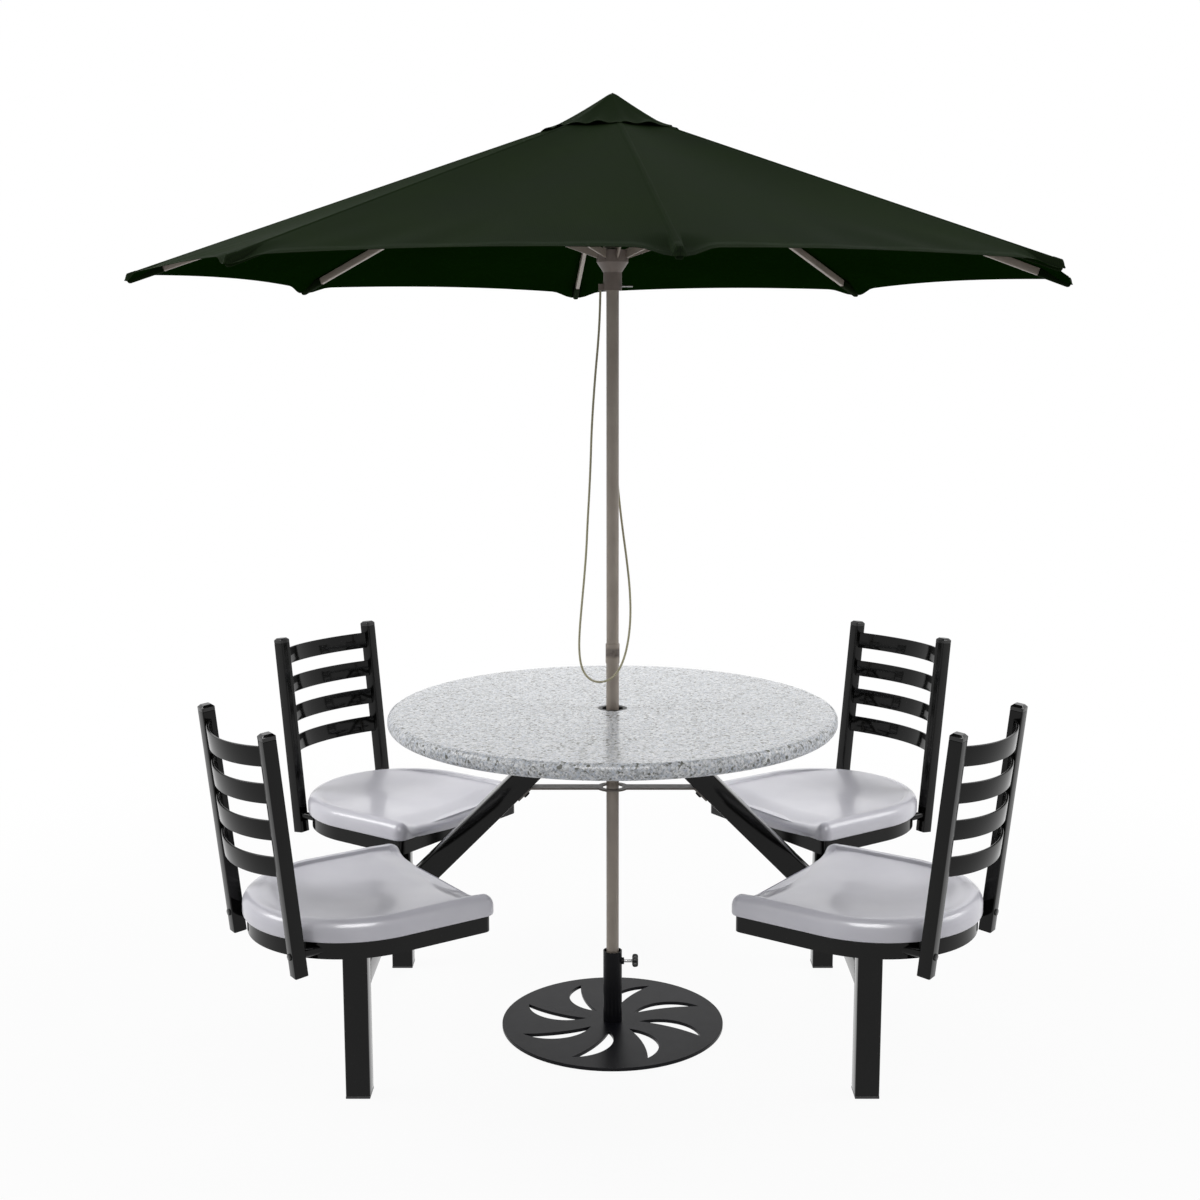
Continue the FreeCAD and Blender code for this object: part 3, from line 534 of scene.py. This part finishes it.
def arcRun(x, y, radius, start, count, sweep):
    # points of an arc about (x, y), up to but not at its end, and their outward directions
    turn = np.linspace(start, start + sweep, count, endpoint=False)
    outward = compass(turn)
    return outward * radius + [x, y], outward


def lineRun(start, end, count, outward):
    # points from start up to but not at end, all facing one way
    return np.linspace(start, end, count, endpoint=False), np.tile(outward, (count, 1))


def seatOutline():
    # half circle at the back, two straight sides, two small corner arcs and a straight front, with outward directions
    s = seat
    wide, quarter = s["halfWidth"], math.pi / 2
    cx, cy = s["front"] - s["cornerRound"], wide - s["cornerRound"]
    runs = [arcRun(s["backCentre"], 0, wide, quarter, 96, math.pi),
            lineRun((s["backCentre"], -wide), (cx, -wide), 24, (0.0, -1.0)),
            arcRun(cx, -cy, s["cornerRound"], -quarter, 12, quarter),
            lineRun((s["front"], -cy), (s["front"], cy), 40, (1.0, 0.0)),
            arcRun(cx, cy, s["cornerRound"], 0, 12, quarter),
            lineRun((cx, wide), (s["backCentre"], wide), 24, (0.0, 1.0))]
    return [np.concatenate(part) for part in zip(*runs)]


def seatHeight(x, y):
    # rim level, less the dish that deepens inwards, the crease inside the rim and the dip across the front
    s = seat
    reach = np.where(x > s["backCentre"], np.abs(y), np.hypot(x - s["backCentre"], y))
    inward = s["halfWidth"] - reach
    inside = inward - s["rimWidth"]
    dish = s["dishDepth"] * eased(inside / (s["dishReach"] * s["halfWidth"]))
    crease = s["creaseDepth"] * eased(inside / s["creaseWidth"]) * eased((x - s["creaseFrom"]) / s["creaseRamp"])
    slope = s["rimSlope"] * eased((inward - s["slopeStart"]) / s["rimWidth"])
    forward = eased((x - s["front"] + s["frontRoll"]) / s["frontRoll"])
    dip = s["frontDip"] * forward * eased((inward - s["dipStart"]) / s["dipRamp"])
    return s["top"] - dish - crease - slope - dip


def seatShell():
    # rows grow from the middle to the rim, closer at the crease, then roll over the edge, down the wall and under
    s = seat
    outline, outward = seatOutline()
    inner = outline - outward * s["edgeRound"]
    middle = np.array([s["middle"], 0.0])
    rows = []
    for share in np.concatenate([[0.0], np.linspace(0.05, 0.9, 36), np.linspace(0.91, 0.985, 16)]):
        flat = middle + (inner - middle) * share
        rows.append(np.c_[flat, seatHeight(*flat.T)])
    for turn in np.linspace(math.pi / 2, 0, 9):
        flat = outline - outward * s["edgeRound"] * (1 - math.cos(turn))
        rows.append(np.c_[flat, seatHeight(*inner.T) - s["edgeRound"] * (1 - math.sin(turn))])
    for inset, level in s["under"]:
        rows.append(np.c_[outline - outward * inset * mm, np.full(len(outline), level * mm)])
    rows.append(np.c_[np.tile(middle, (len(outline), 1)), rows[-1][:, 2]])
    return gridShape(np.stack(rows), columnsClosed=True)


# ladder back: two leaning tubes, four bowed slats between them, chamfered end caps and bolt heads.
# cap is (height, inset) in mm, bolt is (share of its height, scale)
back = inMm(size=28, round=2.5, x=-197, y=155, bottom=362, length=484, endSoft=0.6, slatHeight=41, slatThickness=5,
            slatRound=1.3, pitch=75, topDrop=16, bow=42, boltZ=406, boltRadius=7, boltHeight=4) | {
    "leanDegrees": 6, "slats": 4, "slatSteps": 41, "bolt": [(0, 1), (0.75, 1), (0.95, 0.93), (1, 0.75)],
    "cap": [(0, 0.4), (0.5, 0), (8, 0), (8.8, 0.5), (12.4, 4.4), (13, 5)]}


def leaned(points):
    # turned back about the foot of the uprights
    x, y, z = points.T
    x, z = turned(x - back["x"], z - back["bottom"], back["leanDegrees"])
    return joined(back["x"] + x, y, back["bottom"] + z)


def uprightShapes():
    b = back
    section = roundedBox(b["size"], b["size"], b["round"])
    return [straight(section, (b["x"], y, b["bottom"]), (b["x"], y, b["bottom"] + b["length"]), (1, 0, 0), b["endSoft"])
            for y in (-b["y"], b["y"])]


def fittingShapes():
    # a cap drawn in to its chamfer on each upright, and a hexagon bolt head, domed a little
    b = back
    section = roundedBox(b["size"], b["size"], b["round"])
    half = b["size"] / 2
    hexagon = compass(fullTurn(6)) * b["boltRadius"]
    heights, insets = np.array(b["cap"]).T * mm
    outs, sizes = np.array(b["bolt"]).T
    shapes = []
    for y in (-b["y"], b["y"]):
        spine = np.array([b["x"], y, b["bottom"] + b["length"]]) + heights[:, None] * [0, 0, 1]
        shapes.append(swept(section, spine, (1, 0, 0), (0, 1, 0), 1 - insets / half))
        spine = np.array([b["x"] - half, y, b["boltZ"]]) - outs[:, None] * [b["boltHeight"], 0, 0]
        shapes.append(swept(hexagon, spine, (0, 1, 0), (0, 0, 1), sizes))
    return shapes


def slatShapes():
    # the bow is an arc through the two uprights; the section stands across it
    b = back
    section = roundedBox(b["slatThickness"], b["slatHeight"], b["slatRound"], 4)
    half = b["y"] - b["size"] / 2
    radius = (half ** 2 + b["bow"] ** 2) / (2 * b["bow"])
    swing = np.linspace(-1, 1, b["slatSteps"]) * math.asin(half / radius)
    outward = joined(-np.cos(swing), np.sin(swing), 0)
    highest = b["bottom"] + b["length"] - b["topDrop"] - b["slatHeight"] / 2
    centres = [np.array([b["x"] - b["bow"] + radius, 0, highest - index * b["pitch"]]) for index in range(b["slats"])]
    return [swept(section, centre + outward * radius, outward, (0, 0, 1)) for centre in centres]


shellShape = seatShell()
for name in seatNames:
    body = "seat_" + name
    makePiece("seatShell_" + name, [(toSeat(shellShape[0], name), shellShape[1])], greySeat, body,
              ["seat_shell_" + name], 50)
    for label, shapes, node, finish, slot in (
            ("backUprights_", uprightShapes(), "back_uprights_", glossBlack, "black_paint"),
            ("backSlats_", slatShapes(), "back_slats_", glossBlack, "black_paint"),
            ("backFittings_", fittingShapes(), "back_fittings_", glossCaps, "black_caps")):
        makePiece(label + name, [(toSeat(leaned(p), name), f) for p, f in shapes], finish, body, [node + name])
    softened("seat_frame_" + name, glossBlack, 0.8)
print("seats made")


# umbrella stand and its clamp; the knob's profile is (share of its depth, share of its radius)
stand = inMm(clampZ=154, screwRadius=4, screwTip=14.8, screwEnd=59, pitch=1.25, threadDepth=0.45, tipTaper=2,
             knobInner=46, knobOuter=60, knobRadius=16) | {
    "pitchSteps": 8, "tipShare": 0.8, "screwSides": 24, "lobes": 5, "waist": 0.68, "knobSides": 100,
    "knobProfile": [(0, 0), (0, 0.62), (0.05, 0.82), (0.16, 0.95), (0.32, 1), (0.62, 1), (0.8, 0.96), (0.93, 0.86),
                    (1, 0.68), (1, 0.36), (0.94, 0.3), (0.94, 0)]}


def clampRings(x, radius, turn):
    # rings of the given radii round the clamp's level axis
    return joined(x[:, None], radius * np.cos(turn), stand["clampZ"] + radius * np.sin(turn))


def makeClamp():
    s = stand
    # thread: radius falls in a wave that climbs one pitch each turn
    x = np.arange(s["screwTip"], s["screwEnd"], s["pitch"] / s["pitchSteps"])
    turn = fullTurn(s["screwSides"])
    wave = 0.5 + 0.5 * np.cos(turn[None] - x[:, None] / s["pitch"] * math.tau)
    taper = eased((x - s["screwTip"]) / s["tipTaper"])[:, None]
    radius = (s["screwRadius"] - s["threadDepth"] * wave) * (s["tipShare"] + (1 - s["tipShare"]) * taper)
    makePiece("clampScrew", [capped(clampRings(x, radius, turn))], chromeSteel, "screw", ["clamp_screw"], 60)
    # knob: the radius swells in lobes round the axis, and both faces are rolled over
    turn = fullTurn(s["knobSides"])
    swell = 0.5 + 0.5 * np.cos(s["lobes"] * turn)
    lobed = s["knobRadius"] * (s["waist"] + (1 - s["waist"]) * np.sqrt(swell))
    along, across = np.array(s["knobProfile"]).T
    radius = lobed[None] * across[:, None]
    x = s["knobInner"] + (s["knobOuter"] - s["knobInner"]) * along
    makePiece("clampKnob", [gridShape(clampRings(x, radius, turn), columnsClosed=True)], blackNylon, "knob",
              ["clamp_knob"], 50)


makeClamp()
softened("base_plate", satinBlack, 1)
softened("base_tube", satinBlack, 0.7)

# pole in two halves, with a socket on the lower one
pole = inMm(lowerRadius=14.5, upperRadius=14, wall=1.6, bottom=8, socketZ=868, socketTop=912, socketRadius=16, flare=3,
            easeIn=0.4, easeUp=0.6, lipEase=0.8, fit=0.05, top=2057, rubMiddle=892, rubHalf=4, rubFade=15,
            rubPatch=9) | {"rubColour": "#51453f", "sides": 64}


def rubbedCoat():
    # the pole's coat, darker in a soft, patchy ring on the socket, darkest at the ring's middle height
    p = pole
    material = taupeCoat.copy()
    material.name = "aluminiumPowderCoatedRubbed"
    tree = material.node_tree
    colour = tree.nodes["Principled BSDF"].inputs["Base Color"]
    coat = colour.links[0].from_socket
    spot = addNode(tree, "TexCoord")["Object"]
    height = addNode(tree, "SeparateXYZ", {"Vector": spot})
    above = addNode(tree, "Math", {0: height["Z"], 1: p["rubMiddle"]}, operation="SUBTRACT")
    away = addNode(tree, "Math", {0: above[0]}, operation="ABSOLUTE")
    patches = addNode(tree, "TexNoise", {"Vector": spot, "Scale": 1 / p["rubPatch"], "Detail": 3.0})
    depth = addNode(tree, "MapRange", {"Value": patches["Fac"], "From Min": 0.35, "From Max": 0.6, "To Min": 0.6,
                                       "To Max": 1.0})
    ring = addNode(tree, "MapRange", {"Value": away[0], "From Min": p["rubFade"], "From Max": p["rubHalf"],
                                      "To Max": depth["Result"]}, interpolation_type="SMOOTHSTEP")
    addNode(tree, "Mix", {0: ring["Result"], 6: coat, 7: linear(p["rubColour"])}, {2: colour}, data_type="RGBA")
    return material


def makePole():
    p = pole
    outer, inner, wide = p["lowerRadius"], p["upperRadius"], p["socketRadius"]
    shelf, top, lip = p["socketZ"], p["socketTop"], p["lipEase"]
    bore, fit = outer - p["wall"], inner + p["fit"]
    lower = [(bore, p["bottom"]), (outer, p["bottom"]), (outer, shelf - p["flare"]),
             (wide - p["easeIn"], shelf - p["easeUp"]), (wide, shelf + p["easeUp"]), (wide, top - lip),
             (wide - lip, top), (fit, top), (fit, shelf), (bore, shelf)]
    makePiece("lowerPole", [revolved(lower, p["sides"])], rubbedCoat(), "pole_foot", ["lower_pole"])
    bore, foot = inner - p["wall"], shelf + p["fit"]
    upper = [(bore, foot), (inner, foot), (inner, p["top"]), (bore, p["top"])]
    makePiece("upperPole", [revolved(upper, p["sides"])], taupeCoat, "mast", ["upper_pole"])


makePole()
softened("crown_hub", taupeNylon, 0.6)
softened("runner", taupeNylon, 0.6)
softened("lock_pin", zincSteel, 0.5)
print("stand and pole made")


# ribs and stretchers, made along +X from their hinge, sloped and turned into place
umbrella = inMm(hingeZ=2070, hingeRadius=28, ribLength=1066, ribWidth=10, ribHeight=17, ribRound=2, ribEnd=0.8,
                tongueWidth=5, tongueHeight=12, tongueLength=24, stretcher=450, strapThickness=4, strapHeight=15,
                strapSide=7.5, strapSoft=0.5, rivetRadius=4, rivetHeight=1.5, runnerHingeZ=1776.99) | {
    "ribTurn": 5.8, "slopeDegrees": 19, "rivetSides": 20}


def ribDegrees(number):
    return umbrella["ribTurn"] + ribStep * (number - 1)


def hung(points, number, z, degrees):
    # slopes a bar made along +X down by degrees, moves it to its hinge and turns it to its rib
    x, y, w = points.T
    out, rise = turned(x, w, -degrees)
    x, y = turned(out + umbrella["hingeRadius"], y, ribDegrees(number))
    return joined(x, y, z + rise)


def rivetHead(x, y, outward):
    # a shallow dome on the side of a bar, with a small flat at its top
    u = umbrella
    turn = fullTurn(u["rivetSides"])
    rise = np.linspace(0, math.pi / 2, 5)[:, None]
    ring = u["rivetRadius"] * np.cos(rise * 0.98)
    level = y + outward * u["rivetHeight"] * np.sin(rise)
    return capped(joined(x + ring * np.cos(turn), level, ring * np.sin(turn)))


def stadium(length, height, steps=13):
    # a bar's side view: two half circles joined by straight edges
    arc = compass(np.linspace(-math.pi / 2, math.pi / 2, steps)) * height / 2
    return np.concatenate([arc + [length, 0], -arc])


def strap(length, height, thickness, side):
    # the stadium carried across the bar's thickness, drawn in towards its middle line a little at both faces
    outline = stadium(length, height)
    middle = joined(np.clip(outline[:, 0], 0, length), 0)
    soft, half = umbrella["strapSoft"], thickness / 2
    rings = []
    for level, inset in ((-half, soft), (soft - half, 0), (half - soft, 0), (half, soft)):
        flat = middle + (outline - middle) * (1 - 2 * inset / height)
        rings.append(np.insert(flat, 1, level + side, axis=1))
    return capped(np.stack(rings))


def makeUmbrellaFrame():
    u = umbrella
    thick, tall, long = u["tongueWidth"], u["tongueHeight"], u["tongueLength"]
    section = roundedBox(u["ribWidth"], u["ribHeight"], u["ribRound"])
    ribShapes = [straight(section, (long, 0, 0), (u["ribLength"], 0, 0), (0, 1, 0), u["ribEnd"]),
                 strap(long + tall / 2, tall, thick, 0),
                 rivetHead(u["stretcher"], -u["ribWidth"] / 2, -1)]
    strapShapes = [strap(u["stretcher"], u["strapHeight"], u["strapThickness"], u["strapSide"]),
                   rivetHead(u["stretcher"], u["strapSide"] + u["strapThickness"] / 2, 1)]
    for number in ribNumbers:
        for label, node, shapes, z, degrees in (
                ("ribTube_", "rib_", ribShapes, u["hingeZ"], u["slopeDegrees"]),
                ("stretcherStrap_", "stretcher_", strapShapes, u["runnerHingeZ"], -u["slopeDegrees"])):
            makePiece(label + str(number), [(hung(p, number, z, degrees), f) for p, f in shapes], taupeCoat,
                      node + str(number), [node + str(number)])


makeUmbrellaFrame()
print("ribs and stretchers made")


# canopy: one cloth in eight gores, drawn tight over the ribs; each rib carries the strip over it and the half gores
# beside it
cloth = inMm(innerRadius=50, radius=1047.9, ribGap=1, lift=1.2, thickness=0.9, hemSag=26, goreSag=13, seamHalf=6,
             seamRise=0.7, seamRamp=1, hemWidth=24, hemRise=0.7, hemRamp=1.5, stripHalf=12.5, pucker=1.6, cornerDrop=13,
             cornerSide=7.2, cornerRamp=5, cornerFade=60, cornerLength=80, cornerFull=60, cornerNose=6) | {
    "foldKeep": 0.03, "bodyRows": 58, "halfColumns": 26, "hemRows": [1.5, 8, 16, 18, 20, 22, 24],
    "puckers": 5, "puckerSlant": 9, "puckerStart": (0.75, 0.2), "puckerEnd": (0.95, 0.05)}
# the middle of a chord between two ribs lies this share of the radius out, and the chord is this many radii long
chordShare, chordLength = math.cos(math.radians(ribStep / 2)), 2 * math.sin(math.radians(ribStep / 2))


def ridgeZ(radius):
    # the cloth's level along a rib: the rib's upper edge plus the gap
    u = umbrella
    slope = math.radians(u["slopeDegrees"])
    top = u["hingeZ"] + u["ribHeight"] / 2 / math.cos(slope)
    return top - (radius - u["hingeRadius"]) * math.tan(slope) + cloth["ribGap"] + cloth["lift"]


def onChord(reach, share, here, step):
    # x and y on the straight chord from the rib at here degrees to the one a step on, a share of the way along it
    start, end = compass(np.radians(here)), compass(np.radians(here + step))
    share = share[..., None]
    return np.moveaxis(reach[..., None] * ((1 - share) * start + share * end), -1, 0)


def gorePoints(number, radius, across):
    # across runs from -0.5 to 0.5, from mid gore over the rib to mid gore. A point lies on the straight chord between
    # two ribs, drawn in towards the hem's arc, and sags below the chord most in the middle of the gore
    c = cloth
    share = np.abs(across)
    bow = 4 * share * (1 - share)
    drawn = c["hemSag"] / (c["radius"] * chordShare)
    reach = radius * (1 - drawn * bow * (radius / c["radius"]) ** 3)
    x, y = onChord(reach, share, ribDegrees(number), np.sign(across) * ribStep)
    length = (radius - c["innerRadius"]) / (c["radius"] - c["innerRadius"])
    sag = c["goreSag"] * bow ** 1.3 * np.sin(math.pi * np.clip(length, 0, 1)) ** 0.8
    # small slanting puckers come and go just above the hem
    come, gone = (eased((length - start) / ramp) for start, ramp in (c["puckerStart"], c["puckerEnd"]))
    waves = np.sin(math.tau * c["puckers"] * share + c["puckerSlant"] * length)
    pucker = c["pucker"] * waves * bow * come * (1 - gone)
    lateral = reach * share * chordLength
    seam = c["seamRise"] * (1 - eased((lateral - c["seamHalf"] + c["seamRamp"]) / c["seamRamp"]))
    edge = radius - c["radius"]
    hem = c["hemRise"] * eased((edge + c["hemWidth"]) / c["hemRamp"])
    # round a rib's tip the cloth hangs down, at both sides of the sewn pocket and in front of it
    cover = np.maximum(eased((lateral - c["cornerSide"]) / c["cornerRamp"]), eased(edge / c["cornerNose"] + 1))
    fade = 1 - eased((lateral - c["cornerSide"] - c["cornerRamp"]) / c["cornerFade"])
    drop = c["cornerDrop"] * cover * fade * eased((edge + c["cornerLength"]) / c["cornerFull"])
    z = ridgeZ(reach) - sag + pucker + seam + hem - drop
    along = (c["radius"] - reach) / math.cos(math.radians(umbrella["slopeDegrees"]))
    return joined(x, y, z), joined(lateral * np.sign(across), along)


def thicken(piece, thickness):
    # edges with one face are made sharp, so that neighbouring sheets shade as one cloth
    mesh = piece.data
    used = np.zeros(len(mesh.loops), np.int32)
    mesh.loops.foreach_get("edge_index", used)
    mesh.edges.foreach_set("use_edge_sharp", np.bincount(used, minlength=len(mesh.edges)) == 1)
    # the under face takes the darker canvas, which is painted shade
    mesh.materials.append(greenLining)
    solid = piece.modifiers.new("clothThickness", "SOLIDIFY")
    solid.thickness = thickness
    solid.offset = 0
    solid.material_offset = 1


# rib-end pockets: sleeves of the canopy's own cloth, sewn under its corners, that the ribs' tips push into.
# shape is (share of the length, scale)
pocket = inMm(start=992, end=1073, width=14, height=18.6, corner=4, drop=0.3) | {
    "shape": [(0, 0.97), (0.02, 1.03), (0.1, 1.0), (0.93, 1.0), (0.965, 0.93), (0.985, 0.78), (1, 0.5)]}


def makePocket(number):
    # a rounded section carried along the rib's last stretch, drawn in to a blunt nose
    p, u = pocket, umbrella
    section = roundedBox(p["width"], p["height"], p["corner"])
    share, scales = np.array(p["shape"]).T
    along = p["start"] + (p["end"] - p["start"]) * share
    points, faces = swept(section, joined(along, 0, -p["drop"]), (0, 1, 0), (0, 0, 1), scales)
    uv = tubeUv(np.linspace(0, 2 * (p["width"] + p["height"]), len(section) + 1), along)
    return makePiece("tipPocket_%d" % number, [(hung(points, number, u["hingeZ"], u["slopeDegrees"]), faces)],
                     greenCanvas, "rib_%d" % number, (), 40, uv)


def makeCanopy():
    c = cloth
    hemStart = c["radius"] - c["hemWidth"]
    radius = np.concatenate([np.linspace(c["innerRadius"], hemStart, c["bodyRows"]),
                             hemStart + np.array(c["hemRows"]) * mm])[:, None]
    edge = c["stripHalf"] / (radius * chordLength)  # the strip's half width, as a share of the chord
    seam = (c["seamHalf"] - c["seamRamp"] * np.array([0, 0.5, 1])) / c["stripHalf"]
    half = np.concatenate([[1, 0.75], seam, [0.2]])
    # across falls from column to column, so that the faces look up
    parts = (("canopyStrip", 0, edge * np.concatenate([half, [0], -half[::-1]])),
             ("canopyLeft", 1, edge + (0.5 - edge) * np.linspace(1, 0, c["halfColumns"])),
             ("canopyRight", -1, -edge - (0.5 - edge) * np.linspace(0, 1, c["halfColumns"])))
    for number in ribNumbers:
        for label, side, across in parts:
            grid, uv = gorePoints(number, np.broadcast_to(radius, across.shape), across)
            piece = makePiece("%s_%d" % (label, number), [gridShape(grid)], greenCanvas, "rib_%d" % number,
                              ["canopy"], 60, loopUv(uv), recalc=False)
            thicken(piece, c["thickness"])
            if side:
                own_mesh(piece)
            [] if side else [makePocket(number)]


makeCanopy()

# vent cap: a small steeper tent over the centre hole, its loose edge rippled
vent = inMm(radius=156, apex=2123.4, lift=1.6, sag=5, droop=1.5, edgeRipple=6, peak=2, peakWidth=6, rowsFrom=14) | {
    "flare": 1.2, "ripples": 2, "rippleDrift": (0.8, 0.375), "goreSteps": 14, "tipRows": [0, 2, 5, 9], "rows": 26,
    "around": 0.9}


def makeVent():
    # straight ridges from the apex to each rib, chords between them, scalloped like the hem; ripples grow to the edge
    v = vent
    gores = len(ribNumbers)
    turn = np.linspace(0, gores, gores * v["goreSteps"], endpoint=False)
    share = turn % 1
    here = ribDegrees(1) + np.floor(turn) * ribStep
    radii = np.concatenate([np.array(v["tipRows"]) * mm, np.linspace(v["rowsFrom"], v["radius"], v["rows"])])
    radius = radii[:, None]
    out = radius / v["radius"]
    bow = 4 * share * (1 - share)
    reach = radius * (1 - v["sag"] / (v["radius"] * chordShare) * bow * out ** 2)
    x, y = onChord(reach, share, here, ribStep)
    edgeZ = ridgeZ(v["radius"]) + v["lift"]
    rise = v["apex"] - edgeZ
    peak = v["peak"] * np.exp(-(radius / v["peakWidth"]) ** 2)
    drift, slow = v["rippleDrift"]
    wave = np.sin(math.tau * v["ripples"] * turn + drift * np.sin(math.tau * slow * turn))
    ripple = v["edgeRipple"] * out ** 4 * (0.5 + 0.5 * wave) * bow ** 0.5
    droop = v["droop"] * bow * np.sin(math.pi * np.clip(out, 0, 1))
    z = edgeZ + rise * (1 - reach / v["radius"]) ** v["flare"] + ripple - peak - droop
    grid = joined(x, y, z)
    uv = loopUv(joined(*np.meshgrid(np.linspace(0, v["around"], len(turn) + 1), radii)))
    piece = makePiece("ventCap", [gridShape(grid, columnsClosed=True)], greenCanvas, "mast",
                      ["vent_cap"], 60, uv)
    thicken(piece, cloth["thickness"])


makeVent()
print("canopy, vent cap and pockets made")


# studio: pale floor that keeps a soft shadow, a white surround, soft lamps as (name, place, size, power)
studio = {"floorSize": 40.0, "whiteFrom": 1.3, "whiteBy": 3.0, "nearWhite": 0.94, "ambient": 0.44,
          "floorPaint": "#cacaca", "aim": (0, 0, 0.7),
          "lamps": [("keyLamp", (-3.8, -0.2, 3.4), 1.9, 96), ("fillLamp", (3.8, 0.0, 3.3), 2.2, 80),
                    ("backLamp", (0.4, 3.9, 3.3), 2.2, 98), ("edgeLamp", (0.0, -2.9, 3.9), 2.2, 160)]}


def seenRays(tree):
    # 1 for rays from the camera, also by way of gloss or glass, and 0 for the rest
    ray = addNode(tree, "LightPath")
    seen = ray["Is Camera Ray"]
    for kind in ("Is Glossy Ray", "Is Transmission Ray"):
        seen = addNode(tree, "Math", {0: seen, 1: ray[kind]}, operation="MAXIMUM")[0]
    return seen


def makeStudio():
    s = studio
    half = s["floorSize"] / 2
    mesh = bpy.data.meshes.new("floor")
    mesh.from_pydata([(-half, -half, 0), (half, -half, 0), (half, half, 0), (-half, half, 0)], [], [(0, 1, 2, 3)])
    floor = bpy.data.objects.new("floor", mesh)
    bpy.context.scene.collection.objects.link(floor)
    # painted studio floor: pale and matt; seen directly it is close to white, and pure white away from the object
    material, tree, _, place = newMaterial("floorPaintPale", {"Base Color": linear(s["floorPaint"]), "Roughness": 0.9})
    far = addNode(tree, "VectorMath", {0: place["Object"]}, operation="LENGTH")
    white = addNode(tree, "MapRange", {"Value": far["Value"], "From Min": s["whiteFrom"], "From Max": s["whiteBy"],
                                       "To Min": s["nearWhite"], "To Max": 1.0}, interpolation_type="SMOOTHSTEP")
    share = addNode(tree, "Math", {0: seenRays(tree), 1: white["Result"]}, operation="MULTIPLY")
    glow = addNode(tree, "Emission", {"Color": (1, 1, 1, 1), "Strength": 1.0})
    addNode(tree, "MixShader", {0: share[0], 1: tree.nodes["Principled BSDF"].outputs[0], 2: glow[0]},
            {0: tree.nodes["Material Output"].inputs["Surface"]})
    mesh.materials.append(material)

    world = bpy.data.worlds.new("studioSurround")
    world.use_nodes = True
    bpy.context.scene.world = world
    tree = world.node_tree
    light = tree.nodes["Background"]
    light.inputs["Color"].default_value = (1, 1, 1, 1)
    light.inputs["Strength"].default_value = s["ambient"]
    white = addNode(tree, "Background", {"Color": (1, 1, 1, 1), "Strength": 1.0})
    addNode(tree, "MixShader", {0: seenRays(tree), 1: light.outputs[0], 2: white[0]},
            {0: tree.nodes["World Output"].inputs["Surface"]})

    for name, place, size, power in s["lamps"]:
        data = bpy.data.lights.new(name, "AREA")
        data.size = size
        data.energy = power
        lamp = bpy.data.objects.new(name, data)
        lamp.location = place
        lamp.visible_glossy = name != "backLamp"   # it would glare on the flat tops
        lamp.visible_diffuse = name != "edgeLamp"  # it only draws the highlight along rounded edges
        aim = np.array(s["aim"]) - place
        lamp.rotation_euler = (math.atan2(math.hypot(aim[0], aim[1]), -aim[2]), 0, math.atan2(-aim[0], aim[1]))
        bpy.context.scene.collection.objects.link(lamp)
    bpy.context.scene.view_settings.view_transform = "Standard"


makeStudio()
print("studio made")
